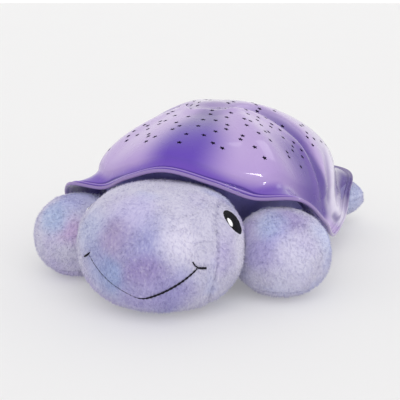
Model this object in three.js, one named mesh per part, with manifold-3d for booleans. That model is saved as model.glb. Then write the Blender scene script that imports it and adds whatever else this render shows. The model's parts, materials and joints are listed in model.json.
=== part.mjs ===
// Star night light: a stuffed turtle that carries a hard domed shell pierced with small stars.
// Millimetres, +Z up. The turtle looks along -Y, its left side is +X and it stands on z = 0.
import * as THREE from 'three';
import { mergeVertices } from 'three/addons/utils/BufferGeometryUtils.js';
import Module from 'manifold-3d';

const wasm = await Module();
wasm.setup();

// Clearances shared by every piece
const fitGap = 0.3;
const overrun = 8;
const weldTolerance = 1e-4;

// Shell: a polar form round a vertical axis, with a station every 15 degrees from the head to the tail
const shellHeight = 129.5;
const shellReach = 120;
const shellWall = 2.4;
const lipThickness = 3.2;
const crownOffset = 12;
const crownRoundness = 1.62;
const crownShoulder = 0.576;
const rimReachShares = [1.08, 1.04, 0.99, 1.1, 1.05, 0.963, 0.94, 1.005, 1.115, 1.3, 1.2, 1.13, 1.1];
const rimHeightShares = [
  0.741, 0.669, 0.563, 0.556, 0.376, 0.218, 0.167, 0.21, 0.31, 0.395, 0.42, 0.44, 0.46,
];
const baseReachShares = [
  0.983, 0.956, 0.921, 0.875, 0.825, 0.808, 0.817, 0.873, 0.975, 1.09, 1.08, 1.04, 1.01,
];
const baseHeightShares = [
  0.803, 0.741, 0.655, 0.625, 0.51, 0.425, 0.385, 0.415, 0.46, 0.495, 0.51, 0.525, 0.54,
];
const brimDropShare = 0.88;
const brimOutShare = 0.12;
const waistGrooveDepth = 2.4;
const waistGrooveWidth = 9;
const waistGrooveFront = 12;
const waistGrooveBend = 30;
const frontGrooveDepth = 1.6;
const frontGrooveWidth = 14;

// Star holes, scattered over the upper part of the shell
const starCount = 112;
const starRadius = 2;
const starSpreadShare = 0.93;
const starCrownShare = 0.03;
const starRingJitterShare = 2.8;
const starJitterAngle = 21;
const goldenAngle = 137.508;

// Lower housing: a round tub under the shell with a flange that follows the shell's inside
const tubMargin = 5.4;
const tubFloorZ = 9;
const tubKneeZ = 34;
const tubEdge = 4;
const housingWall = 2.4;

// Belly ring that clamps the fabric round the battery door
const ringWidth = 13;
const ringThickness = 3.3;

// Battery compartment for three AAA cells that lie side by side along Y
const cellDiameter = 10.3;
const cellLength = 44.5;
const nubRadius = 1.8;
const nubHeight = 1;
const cellPitch = 11;
const boxWall = 1.8;
const boxFlange = 7;
const doorThickness = 2.1;
const doorLedge = 3.5;
const doorTail = 12;
const plateThickness = 0.5;
const springLength = 5;
const springRadius = 3.3;
const springWire = 0.8;
const springTurns = 3;
const tabWidth = 4;
const tabRise = 3;

// Screws
const screwShaft = 1.45;
const screwHead = 2.9;
const screwHeadHeight = 2;
const shellScrewLength = 14;
const smallScrewLength = 7;
const bossRadius = 5;
const shellPostGap = 4;
const shellPostAngles = [50, -50, 138, -138];
const shellBossTop = 60;
const shellBossDepth = 8;
const ringScrewAngles = [45, 135, 225, 315];

// Light tower, lamp board and its three lamps
const towerHeight = 37;
const towerRadius = 12;
const towerFoot = 18;
const towerWall = 1.8;
const lampBoardRadius = 14;
const boardThickness = 1.6;
const ledRadius = 2.5;
const ledHeight = 8.6;
const ledCollar = 2.9;
const ledCollarHeight = 1;
const ledOrbit = 6.5;

// Main board beside the battery compartment
const mainBoardWidth = 28;
const mainBoardLength = 56;
const mainBoardMargin = 8.5;
const standoffHeight = 6;
const standoffRadius = 3;
const chipSize = 9;
const chipHeight = 1.8;
const capacitorRadius = 3.2;
const capacitorHeight = 9;
const headerLength = 12;
const headerWidth = 5;
const headerHeight = 6;

// Button panel in the rear of the shell
const panelCourseShare = 0.8;
const panelWidth = 56;
const panelHeight = 30;
const panelCorner = 12;
const panelProud = 1.8;
const panelDepth = 5;
const buttonRadius = 5;
const buttonProud = 3.2;
const buttonFlange = 1.2;
const buttonFlangeHeight = 1;
const buttonTravel = 1;
const buttonPitch = 14;
const buttonRowDrop = 6;
const powerRise = 7.5;
const stemRadius = 1.5;
const stemLength = 2.6;
const switchSize = 6;
const switchHeight = 2.2;
const plungerRadius = 1.7;
const plungerHeight = 0.8;
const panelPostX = 21.5;

// Cables inside
const leadRadius = 0.9;
const lampCableRadius = 1.4;
const ribbonWidth = 8;
const ribbonThickness = 1;
const leadInset = 14;
const lampCableInset = 9.3;

// Stuffed body: a fat ring cushion that fills a share of the room between the tub and the shell's reach
const bodyFillShares = [
  0.27, 0.295, 0.4, 0.48, 0.53, 0.557, 0.583, 0.635, 0.74, 0.87, 1, 1.08, 1.105,
];
const bodyTopZ = 38;

// Stuffed head
const headHalfWidth = 60.5;
const headFront = 54;
const headRear = 68;
const headUnderLip = 5.3;
const headPastLip = 10.4;
const headBoxiness = 2.4;
const plushFlat = 0.5;

// Stuffed flippers, each placed by its bearing from the head, and by how far its middle stands out of the
// body's side. Length, width and height are half sizes.
const frontFlipper = {
  bearingAngle: 39, headingAngle: 74, standsOut: 32.6, bottom: -plushFlat, length: 38, width: 36, height: 33,
  roundness: 2.15,
};
const rearFlipper = {
  bearingAngle: 136, headingAngle: 128, standsOut: 23.6, bottom: 9, length: 33, width: 25, height: 18,
  roundness: 2.1,
};

// Stuffed tail
const tailPastRim = 4;
const tailLength = 17;
const tailHalfWidth = 13;
const tailHalfHeight = 10;
const tailZ = 24;

// Embroidered face
const stitchLift = 1;
const eyeHalfWidth = 7;
const eyeHalfHeight = 8;
const eyeAngle = 86;
const eyeRise = 22.3;
const smileHalfWidth = 39.5;
const smileEndRise = 1;
const smileMiddleDrop = 24.5;
const smileRoundness = 1.9;
const smileThread = 1.3;
const tickLength = 8;
const tickAngle = 25;

// The origin lies midway between the nose and the tail, so the shell's axis stands behind it
const noseReach = shellReach * rimReachShares[0] + headPastLip + headFront;
const tailReach = shellReach * rimReachShares.at(-1) + tailPastRim;
const shellAxisY = (noseReach - tailReach) / 2;

// The head fits under the front of the brim and stands on its own flat
const browZ = shellHeight * rimHeightShares[0] - lipThickness - headUnderLip;
const headHalfHeight = (browZ + plushFlat) / 2;
const headY = shellAxisY - noseReach + headFront;
const headZ = headHalfHeight - plushFlat;

// Battery compartment, its door, and the main board beside it
const boxInnerX = 2 * cellPitch + cellDiameter + 2 * fitGap;
const boxInnerY = cellLength + springLength + 2 * plateThickness + 5 * fitGap;
const boxFloorZ = tubFloorZ + housingWall;
const cellZ = boxFloorZ + fitGap + cellDiameter / 2;
const boxRoofZ = cellZ + cellDiameter / 2 + fitGap;
const boxTopZ = boxRoofZ + boxWall;
const doorX = boxInnerX + 2 * doorLedge;
const doorY = boxInnerY + 2 * doorLedge + doorTail;
const doorCentreY = shellAxisY + doorTail / 2;
const doorScrewY = doorCentreY + doorY / 2 - 1.5 * screwHead;
const mainBoardX = (doorX + boxFlange + mainBoardWidth) / 2 + mainBoardMargin;

// The tub clears the main board's far corners, and the ring under it clears the door's
const boardReach = Math.hypot(mainBoardX + mainBoardWidth / 2, mainBoardLength / 2) + housingWall;
const doorReach = Math.hypot(doorX / 2, (doorY + doorTail) / 2) + ringWidth + 1.5 * tubEdge;
const tubRadius = Math.max(boardReach, doorReach) + tubMargin;
const ringOuter = tubRadius - 1.5 * tubEdge;
const ringInner = ringOuter - ringWidth;
const ringTopZ = tubFloorZ - fitGap;

const materials = {
  shell: new THREE.MeshStandardMaterial({ color: 0xab8fd4, roughness: 0.15, metalness: 0 }),
  housing: new THREE.MeshStandardMaterial({ color: 0x3b3566, roughness: 0.45, metalness: 0 }),
  plush: new THREE.MeshStandardMaterial({ color: 0xb9b4da, roughness: 1, metalness: 0 }),
  thread: new THREE.MeshStandardMaterial({ color: 0x1c1b20, roughness: 0.7, metalness: 0 }),
  panel: new THREE.MeshStandardMaterial({ color: 0x4a3f86, roughness: 0.35, metalness: 0 }),
  whiteCap: new THREE.MeshStandardMaterial({ color: 0xe9e7f2, roughness: 0.35, metalness: 0 }),
  blueCap: new THREE.MeshStandardMaterial({ color: 0x3c7fd6, roughness: 0.3, metalness: 0 }),
  greenCap: new THREE.MeshStandardMaterial({ color: 0x4bb36a, roughness: 0.3, metalness: 0 }),
  amberCap: new THREE.MeshStandardMaterial({ color: 0xf0a93a, roughness: 0.3, metalness: 0 }),
  board: new THREE.MeshStandardMaterial({ color: 0x1f6b45, roughness: 0.5, metalness: 0 }),
  blackPlastic: new THREE.MeshStandardMaterial({ color: 0x202024, roughness: 0.5, metalness: 0 }),
  whitePlastic: new THREE.MeshStandardMaterial({ color: 0xdedce2, roughness: 0.5, metalness: 0 }),
  steel: new THREE.MeshStandardMaterial({ color: 0xb8bcc2, roughness: 0.3, metalness: 1 }),
  cell: new THREE.MeshStandardMaterial({ color: 0x5a5f66, roughness: 0.35, metalness: 0.6 }),
  redLead: new THREE.MeshStandardMaterial({ color: 0xb3262a, roughness: 0.5, metalness: 0 }),
  greyLead: new THREE.MeshStandardMaterial({ color: 0x8b8d94, roughness: 0.5, metalness: 0 }),
};

const turtle = new THREE.Group();

function radians(degrees) {
  return THREE.MathUtils.degToRad(degrees);
}

// Solids and booleans

function toSolid(geometry) {
  const bare = geometry.clone();
  bare.deleteAttribute('normal');
  bare.deleteAttribute('uv');
  const welded = mergeVertices(bare, weldTolerance);
  return new wasm.Manifold(new wasm.Mesh({
    numProp: 3,
    vertProperties: new Float32Array(welded.attributes.position.array),
    triVerts: new Uint32Array(welded.index.array),
  }));
}

function toGeometry(solid) {
  const mesh = solid.getMesh();
  const geometry = new THREE.BufferGeometry();
  geometry.setAttribute('position', new THREE.BufferAttribute(mesh.vertProperties, 3));
  geometry.setIndex(new THREE.BufferAttribute(mesh.triVerts, 1));
  geometry.computeVertexNormals();
  return geometry;
}

function joined(...geometries) {
  return toGeometry(geometries.map(toSolid).reduce((whole, next) => whole.add(next)));
}

function cutBy(geometry, ...tools) {
  return toGeometry(tools.reduce((rest, tool) => rest.subtract(toSolid(tool)), toSolid(geometry)));
}

function overlapOf(first, second) {
  return toGeometry(toSolid(first).intersect(toSolid(second)));
}

// A closed skin through rings of points. A ring of one point closes an end; wraps joins last to first.
function skin(rings, wraps = false) {
  const starts = [];
  const positions = [];
  for (const ring of rings) {
    starts.push(positions.length / 3);
    ring.forEach((p) => positions.push(p.x, p.y, p.z));
  }
  const faces = [];
  const spans = wraps ? rings.length : rings.length - 1;
  for (let i = 0; i < spans; i += 1) {
    const next = (i + 1) % rings.length;
    const count = Math.max(rings[i].length, rings[next].length);
    for (let j = 0; j < count; j += 1) {
      const k = (j + 1) % count;
      if (rings[i].length === 1) {
        faces.push(starts[i], starts[next] + j, starts[next] + k);
      } else if (rings[next].length === 1) {
        faces.push(starts[i] + k, starts[i] + j, starts[next]);
      } else {
        faces.push(starts[i] + k, starts[i] + j, starts[next] + j);
        faces.push(starts[i] + k, starts[next] + j, starts[next] + k);
      }
    }
  }
  const geometry = new THREE.BufferGeometry();
  geometry.setAttribute('position', new THREE.Float32BufferAttribute(positions, 3));
  geometry.setIndex(enclosedVolume(positions, faces) < 0 ? faces.reverse() : faces);
  geometry.computeVertexNormals();
  return geometry;
}

function enclosedVolume(positions, faces) {
  const corner = (i) => new THREE.Vector3().fromArray(positions, 3 * faces[i]);
  let total = 0;
  for (let i = 0; i < faces.length; i += 3) {
    total += corner(i).dot(corner(i + 1).cross(corner(i + 2)));
  }
  return total;
}

function block(width, depth, height, x, y, bottom) {
  return new THREE.BoxGeometry(width, depth, height).translate(x, y, bottom + height / 2);
}

function post(radius, bottom, top, x = 0, y = 0, sides = 8) {
  const cylinder = new THREE.CylinderGeometry(radius, radius, top - bottom, sides);
  return cylinder.rotateX(Math.PI / 2).translate(x, y, (bottom + top) / 2);
}

// Profile points are [radius, height] pairs turned about Z
function turned(profile, sides = 16) {
  const outline = profile.map(([radius, height]) => new THREE.Vector2(radius, height));
  return new THREE.LatheGeometry(outline, sides).rotateX(Math.PI / 2);
}

function tube(radius, points, steps, sides = 6) {
  const outline = new THREE.Shape();
  outline.absarc(0, 0, radius, 0, Math.PI * 2, false);
  return new THREE.ExtrudeGeometry(outline, {
    steps, curveSegments: sides / 2, extrudePath: new THREE.CatmullRomCurve3(points),
  });
}

function add(name, geometry, material, parent = turtle) {
  const mesh = new THREE.Mesh(geometry, material);
  mesh.name = name;
  parent.add(mesh);
  return mesh;
}

// Shell form

function station(shares, angle) {
  const last = shares.length - 1;
  const place = Math.abs(angle) / (180 / last);
  const first = Math.floor(place);
  const f = place - first;
  const at = (i) => shares[Math.abs(i) > last ? 2 * last - Math.abs(i) : Math.abs(i)];
  const [a, b, c, d] = [at(first - 1), at(first), at(first + 1), at(first + 2)];
  const curve = (2 * a - 5 * b + 4 * c - d) * f * f + (3 * b - 3 * c + d - a) * f ** 3;
  return (2 * b + (c - a) * f + curve) / 2;
}

function around(angle, reach, z, shiftY = 0) {
  const turn = radians(angle);
  return new THREE.Vector3(reach * Math.sin(turn), shellAxisY + shiftY - reach * Math.cos(turn), z);
}

// A groove crosses the shell behind its front scales, and a shallow one runs down its front
function grooveDepth(point) {
  const bend = THREE.MathUtils.smoothstep(Math.abs(point.x), 0, shellReach / 3);
  const waistY = shellAxisY - waistGrooveFront + waistGrooveBend * bend;
  const waist = Math.exp(-(((point.y - waistY) / waistGrooveWidth) ** 2));
  const ahead = THREE.MathUtils.smoothstep(waistY - point.y, 0, shellReach / 4);
  const front = ahead * Math.exp(-((point.x / frontGrooveWidth) ** 2));
  return waistGrooveDepth * waist + frontGrooveDepth * front;
}

// course runs from 0 at the crown to 1 at the dome's foot and 2 at the brim's lip
function onShell(angle, course) {
  const baseReach = shellReach * station(baseReachShares, angle);
  const baseZ = shellHeight * station(baseHeightShares, angle);
  if (course > 1) {
    const lipReach = shellReach * station(rimReachShares, angle);
    const lipZ = shellHeight * station(rimHeightShares, angle);
    const bendReach = baseReach + brimOutShare * (lipReach - baseReach);
    const bendZ = baseZ - brimDropShare * (baseZ - lipZ);
    const t = course - 1;
    const mix = (a, b, c) => (1 - t) ** 2 * a + 2 * t * (1 - t) * b + t * t * c;
    return around(angle, mix(baseReach, bendReach, lipReach), mix(baseZ, bendZ, lipZ));
  }
  const fall = (1 - course ** crownRoundness) ** crownShoulder;
  const place = around(
    angle, baseReach * course, baseZ + (shellHeight - baseZ) * fall, crownOffset * (1 - course * course),
  );
  const heart = new THREE.Vector3(0, shellAxisY, tubKneeZ);
  const outward = place.clone().sub(heart).normalize();
  return place.addScaledVector(outward, -grooveDepth(place) * (1 - course ** 8));
}

function shellNormal(angle, course) {
  const nudge = 0.01;
  if (course < nudge) return new THREE.Vector3(0, 0, 1);
  const past = Math.min(course + nudge, 2);
  const down = onShell(angle, past).sub(onShell(angle, course - nudge));
  const round = onShell(angle + 1, course).sub(onShell(angle - 1, course));
  return down.cross(round).normalize();
}

function shellPlace(angle, course, inset) {
  return onShell(angle, course).addScaledVector(shellNormal(angle, course), -inset);
}

const shellColumns = 48;
const shellCourses = [0.15, 0.31, 0.47, 0.62, 0.75, 0.86, 0.94, 1, 1.35, 1.7, 2];

function ringAt(columns, point) {
  return Array.from({ length: columns }, (_, i) => point(i * 360 / columns - 180));
}

function shellRing(course, inset) {
  return ringAt(shellColumns, (angle) => shellPlace(angle, course, inset));
}

function shellSkin(inset) {
  const insetAt = (course) => (course === 2 ? inset * lipThickness / shellWall : inset);
  return [[shellPlace(0, 0, inset)], ...shellCourses.map((course) => shellRing(course, insetAt(course)))];
}

// Everything under the shell's outside, drawn in by the inset
function shellCore(inset) {
  return skin([...shellSkin(inset), [new THREE.Vector3(0, shellAxisY, tubFloorZ)]]);
}

// An even scatter from -0.5 to 0.5 that gives the same value for the same star every time
function scatter(i, seed) {
  const value = Math.sin((i + 1) * seed) * 43758.5453;
  return value - Math.floor(value) - 0.5;
}

// The stars lie on a sunflower's spiral from the crown down, each a little off its place
function starPlace(i) {
  const [ringSeed, turnSeed] = [12.9898, 78.233];
  const ring = Math.sqrt(Math.max(i + 0.5 + scatter(i, ringSeed) * starRingJitterShare, 0) / starCount);
  const turn = i * goldenAngle + scatter(i, turnSeed) * starJitterAngle / Math.max(ring, 0.2);
  const angle = THREE.MathUtils.euclideanModulo(turn, 360) - 180;
  return { angle, course: starSpreadShare * THREE.MathUtils.clamp(ring, starCrownShare, 1) };
}

function starCutter(i) {
  const { angle, course } = starPlace(i);
  const normal = shellNormal(angle, course);
  const depth = 4 * shellWall;
  const cutter = new THREE.CylinderGeometry(starRadius, starRadius, depth, 4).rotateX(Math.PI / 2);
  cutter.rotateZ(radians(angle * 3));
  const upright = new THREE.Quaternion().setFromUnitVectors(new THREE.Vector3(0, 0, 1), normal);
  const centre = onShell(angle, course);
  return cutter.applyQuaternion(upright).translate(centre.x, centre.y, centre.z);
}

// Button panel's own frame: its origin on the shell's rear, its local Z pointing out of the shell

const panelFrame = new THREE.Group();
panelFrame.position.copy(onShell(180, panelCourseShare));
panelFrame.quaternion.setFromUnitVectors(new THREE.Vector3(0, 0, 1), shellNormal(180, panelCourseShare));
panelFrame.updateMatrix();
turtle.add(panelFrame);

function panelOutline(grow) {
  const [x, y, corner] = [panelWidth / 2 + grow, panelHeight / 2 + grow, panelCorner + grow];
  const outline = new THREE.Shape();
  outline.absarc(x - corner, y - corner, corner, 0, Math.PI / 2, false);
  outline.absarc(corner - x, y - corner, corner, Math.PI / 2, Math.PI, false);
  outline.absarc(corner - x, corner - y, corner, Math.PI, 1.5 * Math.PI, false);
  outline.absarc(x - corner, corner - y, corner, 1.5 * Math.PI, 2 * Math.PI, false);
  return outline;
}

function panelSlab(grow, bottom, top) {
  const slab = new THREE.ExtrudeGeometry(panelOutline(grow), {
    depth: top - bottom, bevelEnabled: false, curveSegments: 3,
  });
  return slab.translate(0, 0, bottom);
}

function postPlace(angle) {
  return around(angle, tubRadius + shellPostGap + bossRadius, 0);
}

function buildShell() {
  const wall = skin([...shellSkin(0), ...shellSkin(shellWall).reverse()]);
  const bossHole = screwShaft + fitGap;
  const foot = shellBossTop + fitGap;
  const postTop = shellPlace(0, 0, 0).z;
  let body = toSolid(wall);
  const core = toSolid(shellCore(shellWall / 2));
  for (const angle of shellPostAngles) {
    const { x, y } = postPlace(angle);
    body = body.add(toSolid(post(bossRadius, foot, postTop, x, y)).intersect(core));
    body = body.subtract(toSolid(post(bossHole, foot - overrun, foot + shellScrewLength / 2, x, y)));
  }
  const window = panelSlab(fitGap, -panelDepth - overrun / 2, overrun).applyMatrix4(panelFrame.matrix);
  body = body.subtract(toSolid(window));
  const panelKeepOut = toSolid(panelSlab(2 * starRadius, -overrun, overrun).applyMatrix4(panelFrame.matrix));
  for (let i = 0; i < starCount; i += 1) {
    const cutter = toSolid(starCutter(i));
    if (cutter.intersect(panelKeepOut).isEmpty()) body = body.subtract(cutter);
  }
  add('shell', toGeometry(body), materials.shell);
}

// Lower housing

function flangePoint(angle, drop = 0) {
  const point = shellPlace(angle, 1, shellWall + fitGap);
  point.z -= drop;
  return point;
}

const flangeDrop = 1.5 * housingWall;

function housingOutside(grow) {
  const columns = shellColumns;
  return [
    [new THREE.Vector3(0, shellAxisY, tubFloorZ - grow)],
    ringAt(columns, (a) => around(a, tubRadius - tubEdge, tubFloorZ - grow)),
    ringAt(columns, (a) => around(a, tubRadius + grow, tubFloorZ + tubEdge)),
    ringAt(columns, (a) => around(a, tubRadius + grow, tubKneeZ - grow)),
    ringAt(columns, (a) => flangePoint(a, flangeDrop + 2 * grow)),
  ];
}

function housingInside() {
  const columns = shellColumns;
  const innerRadius = tubRadius - housingWall;
  const floor = tubFloorZ + housingWall;
  return [
    ringAt(columns, (a) => flangePoint(a)),
    ringAt(columns, (a) => around(a, innerRadius, tubKneeZ + housingWall / 2)),
    ringAt(columns, (a) => around(a, innerRadius, floor + tubEdge)),
    ringAt(columns, (a) => around(a, tubRadius - tubEdge - housingWall / 2, floor)),
    [new THREE.Vector3(0, shellAxisY, floor)],
  ];
}

// The space that the housing and what lies over it take, for cutting the stuffed pieces
function housingEnvelope(grow = fitGap) {
  const lid = new THREE.Vector3(0, shellAxisY, shellHeight);
  return skin([...housingOutside(grow), ringAt(shellColumns, (a) => flangePoint(a)), [lid]]);
}

const standoffPlaces = [];
for (const sideX of [-1, 1]) {
  for (const sideY of [-1, 1]) {
    standoffPlaces.push([
      mainBoardX + sideX * (mainBoardWidth / 2 - standoffRadius - fitGap),
      shellAxisY + sideY * (mainBoardLength / 2 - standoffRadius - fitGap),
    ]);
  }
}

// Two screws hold the board, on one diagonal
const boardScrewPlaces = standoffPlaces.filter(([x, y]) => (x - mainBoardX) * (y - shellAxisY) > 0);

function ringScrewPlace(angle) {
  return around(angle, ringOuter - ringWidth / 2, 0);
}

function buildHousing() {
  let body = toSolid(skin([...housingOutside(0), ...housingInside()]));
  const hole = screwShaft + fitGap;
  const drill = (radius, bottom, top, x, y) => {
    body = body.subtract(toSolid(post(radius, bottom, top, x, y)));
  };
  const above = toSolid(housingEnvelope(0));
  for (const angle of shellPostAngles) {
    const { x, y } = postPlace(angle);
    body = body.add(toSolid(post(bossRadius, tubFloorZ, shellBossTop, x, y)).intersect(above));
    drill(hole, tubFloorZ, shellBossTop + overrun, x, y);
    drill(screwHead + fitGap, tubFloorZ, shellBossTop - shellBossDepth, x, y);
  }
  const standoffTop = boxFloorZ + standoffHeight;
  const addStandoff = (x, y) => {
    body = body.add(toSolid(post(standoffRadius, boxFloorZ - housingWall / 2, standoffTop, x, y)));
  };
  for (const angle of ringScrewAngles) {
    const { x, y } = ringScrewPlace(angle);
    addStandoff(x, y);
    drill(hole, tubFloorZ - overrun, standoffTop - housingWall / 2, x, y);
  }
  standoffPlaces.forEach(([x, y]) => addStandoff(x, y));
  for (const [x, y] of boardScrewPlaces) {
    drill(hole, boxFloorZ + fitGap, standoffTop + overrun, x, y);
  }
  const window = block(doorX + 2 * fitGap, doorY + 2 * fitGap, housingWall + 2 * overrun, 0, doorCentreY,
    tubFloorZ - overrun);
  add('lower_housing', toGeometry(body.subtract(toSolid(window))), materials.housing);
}

// Belly ring and its screws

function buildBellyRing() {
  const bottom = ringTopZ - ringThickness;
  const outline = [[ringInner, bottom], [ringOuter, bottom], [ringOuter, ringTopZ], [ringInner, ringTopZ]];
  let ring = turned([...outline, outline[0]], 28).translate(0, shellAxisY, 0);
  for (const angle of ringScrewAngles) {
    const { x, y } = ringScrewPlace(angle);
    const bore = post(screwShaft + fitGap, bottom - overrun, ringTopZ + overrun, x, y);
    const seat = post(screwHead + fitGap, bottom - overrun, bottom + screwHeadHeight / 2, x, y);
    ring = cutBy(ring, bore, seat);
  }
  add('belly_ring', ring, materials.housing);
  ringScrewAngles.forEach((angle, i) => {
    const { x, y } = ringScrewPlace(angle);
    const head = bottom + screwHeadHeight / 2 - fitGap - screwHeadHeight;
    addScrew(`ring_screw_${i + 1}`, x, y, head, smallScrewLength);
  });
}

// A pan-head screw that points up: its head stands on z = 0 and its shaft rises from the head
function screwForm(length) {
  const chamfer = screwHeadHeight / 4;
  return turned([
    [0, 0], [screwHead - chamfer, 0], [screwHead, chamfer], [screwHead, screwHeadHeight],
    [screwShaft, screwHeadHeight], [screwShaft, screwHeadHeight + length], [0, screwHeadHeight + length],
  ], 8);
}

function addScrew(name, x, y, bottom, length, parent = turtle) {
  const screw = add(name, screwForm(length), materials.steel, parent);
  screw.position.set(x, y, bottom);
}

const shellScrewBottom = shellBossTop - shellBossDepth - fitGap - screwHeadHeight;

function buildShellScrews() {
  shellPostAngles.forEach((angle, i) => {
    const { x, y } = postPlace(angle);
    addScrew(`shell_screw_${i + 1}`, x, y, shellScrewBottom, shellScrewLength);
  });
}

// The room that the stuffing leaves round the shell's screws
function shellScrewPockets() {
  return shellPostAngles.map((angle) => {
    const { x, y } = postPlace(angle);
    return post(screwHead + fitGap, shellScrewBottom - fitGap, shellBossTop, x, y);
  });
}

// Battery compartment, its door, cells, contacts and springs

function buildBatteryBox() {
  const outerX = boxInnerX + 2 * boxWall;
  const outerY = boxInnerY + 2 * boxWall;
  const foot = boxFloorZ + fitGap;
  const flangeX = doorX + boxFlange;
  const flangeY = doorY + boxFlange;
  const walls = joined(
    block(outerX, outerY, boxTopZ - foot, 0, shellAxisY, foot),
    block(flangeX, flangeY, boxWall, 0, doorCentreY, foot),
    post(bossRadius, foot, boxTopZ, 0, doorScrewY),
  );
  const slots = [-1, 1].map((side) => block(
    tabWidth + 2 * fitGap, plateThickness + 2 * fitGap, 2 * overrun,
    side * cellPitch, shellAxisY + side * (boxInnerY / 2 - fitGap - plateThickness / 2), boxRoofZ - overrun,
  ));
  const box = cutBy(
    walls,
    block(boxInnerX, boxInnerY, boxRoofZ - foot + overrun, 0, shellAxisY, foot - overrun),
    post(screwShaft + fitGap, foot - overrun, boxTopZ - boxWall, 0, doorScrewY),
    ...slots,
  );
  add('battery_box', box, materials.housing);
}

function buildBatteryDoor() {
  const plate = block(doorX, doorY, doorThickness, 0, doorCentreY, tubFloorZ);
  const grips = [-1, 0, 1].map((i) => block(
    boxInnerX / 2, doorThickness / 2, overrun, 0, shellAxisY - boxInnerY / 4 + i * 1.5 * doorThickness,
    tubFloorZ + doorThickness / 3 - overrun,
  ));
  const hole = post(screwShaft + fitGap, tubFloorZ - overrun, tubFloorZ + overrun, 0, doorScrewY);
  const seat = post(screwHead + fitGap, tubFloorZ - overrun, tubFloorZ + doorThickness / 2, 0, doorScrewY);
  add('battery_door', cutBy(plate, ...grips, hole, seat), materials.housing);
  const head = tubFloorZ + doorThickness / 2 - fitGap - screwHeadHeight;
  addScrew('door_screw', 0, doorScrewY, head, smallScrewLength);
}

function cellForm() {
  const [r, edge] = [cellDiameter / 2, nubHeight / 2];
  const body = cellLength - nubHeight;
  return turned([
    [0, 0], [r - edge, 0], [r, edge], [r, body - edge], [r - edge, body],
    [nubRadius, body], [nubRadius, cellLength], [0, cellLength],
  ], 10).rotateX(-Math.PI / 2);
}

function springForm() {
  const coil = springRadius - springWire;
  const [stepsPerTurn, sides] = [7, 4];
  const steps = springTurns * stepsPerTurn;
  const climb = springLength - 2 * springWire;
  const rings = [];
  for (let i = 0; i <= steps; i += 1) {
    const turn = i * 2 * Math.PI / stepsPerTurn;
    const out = new THREE.Vector3(Math.cos(turn), 0, Math.sin(turn));
    const centre = out.clone().multiplyScalar(coil).setY(springWire + climb * i / steps);
    rings.push(Array.from({ length: sides }, (_, j) => {
      const a = j * 2 * Math.PI / sides;
      const across = out.clone().multiplyScalar(springWire / 2 * Math.cos(a));
      return centre.clone().add(across).setY(centre.y + springWire / 2 * Math.sin(a));
    }));
  }
  const middle = (ring) => ring.reduce((sum, p) => sum.add(p), new THREE.Vector3()).divideScalar(sides);
  return skin([[middle(rings[0])], ...rings, [middle(rings[steps])]]);
}

function buildCells() {
  [-cellPitch, 0, cellPitch].forEach((x, i) => {
    const side = i === 1 ? -1 : 1;
    const wallY = shellAxisY - side * boxInnerY / 2;
    const springY = wallY + side * (plateThickness + 2 * fitGap);
    const cellY = springY + side * (springLength + fitGap);
    const spring = add(`battery_spring_${i + 1}`, springForm(), materials.steel);
    const cell = add(`battery_cell_${i + 1}`, cellForm(), materials.cell);
    spring.position.set(x, springY, cellZ);
    cell.position.set(x, cellY, cellZ);
    if (side < 0) {
      spring.rotation.z = Math.PI;
      cell.rotation.z = Math.PI;
    }
  });
  for (const [name, side] of [['contact_plate_front', -1], ['contact_plate_rear', 1]]) {
    const y = shellAxisY + side * (boxInnerY / 2 - fitGap - plateThickness / 2);
    const plateHeight = boxRoofZ - boxFloorZ - 3 * fitGap;
    const plate = block(boxInnerX - 2 * fitGap, plateThickness, plateHeight, 0, y, boxFloorZ + 2 * fitGap);
    const tab = block(tabWidth, plateThickness, boxTopZ + tabRise - cellZ, side * cellPitch, y, cellZ);
    add(name, joined(plate, tab), materials.steel);
  }
}

// Light tower with the lamp board and lamps

const towerFootZ = boxTopZ + fitGap;
const towerTopZ = towerFootZ + towerHeight;
const lampBoardZ = towerTopZ + fitGap;

function buildTower() {
  const outer = [
    [towerFoot, towerFootZ], [towerFoot, towerFootZ + towerWall], [towerRadius, towerFootZ + 2 * towerWall],
    [towerRadius - towerWall, towerTopZ],
  ];
  const inner = [
    [towerRadius - 2 * towerWall, towerTopZ], [towerRadius - towerWall, towerFootZ],
  ];
  const profile = [...outer, ...inner, outer[0]];
  add('light_tower', turned(profile, 20).translate(0, shellAxisY, 0), materials.whitePlastic);
  const board = turned([
    [0, lampBoardZ], [lampBoardRadius, lampBoardZ], [lampBoardRadius, lampBoardZ + boardThickness],
    [0, lampBoardZ + boardThickness],
  ], 20).translate(0, shellAxisY, 0);
  add('lamp_board', board, materials.board);
}

function ledForm() {
  const profile = [[0, 0], [ledCollar, 0], [ledCollar, ledCollarHeight], [ledRadius, ledCollarHeight]];
  const shoulder = ledHeight - ledRadius;
  const domeSteps = 3;
  for (let i = 0; i < domeSteps; i += 1) {
    const lift = i * Math.PI / 2 / domeSteps;
    profile.push([ledRadius * Math.cos(lift), shoulder + ledRadius * Math.sin(lift)]);
  }
  return turned([...profile, [0, ledHeight]], 8);
}

function buildLamps() {
  const foot = lampBoardZ + boardThickness + fitGap;
  const lamps = [['blue', materials.blueCap], ['green', materials.greenCap], ['amber', materials.amberCap]];
  lamps.forEach(([colour, material], i) => {
    const turn = radians(90 + 120 * i);
    const lamp = add(`led_${colour}`, ledForm(), material);
    lamp.position.set(ledOrbit * Math.cos(turn), shellAxisY + ledOrbit * Math.sin(turn), foot);
  });
}

// Main board, its parts and its screws

const mainBoardZ = boxFloorZ + standoffHeight + fitGap;
const mainBoardTop = mainBoardZ + boardThickness;

const boardPartsZ = mainBoardTop + fitGap;
const headerY = shellAxisY + mainBoardLength / 2 - 2 * headerWidth;

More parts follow.
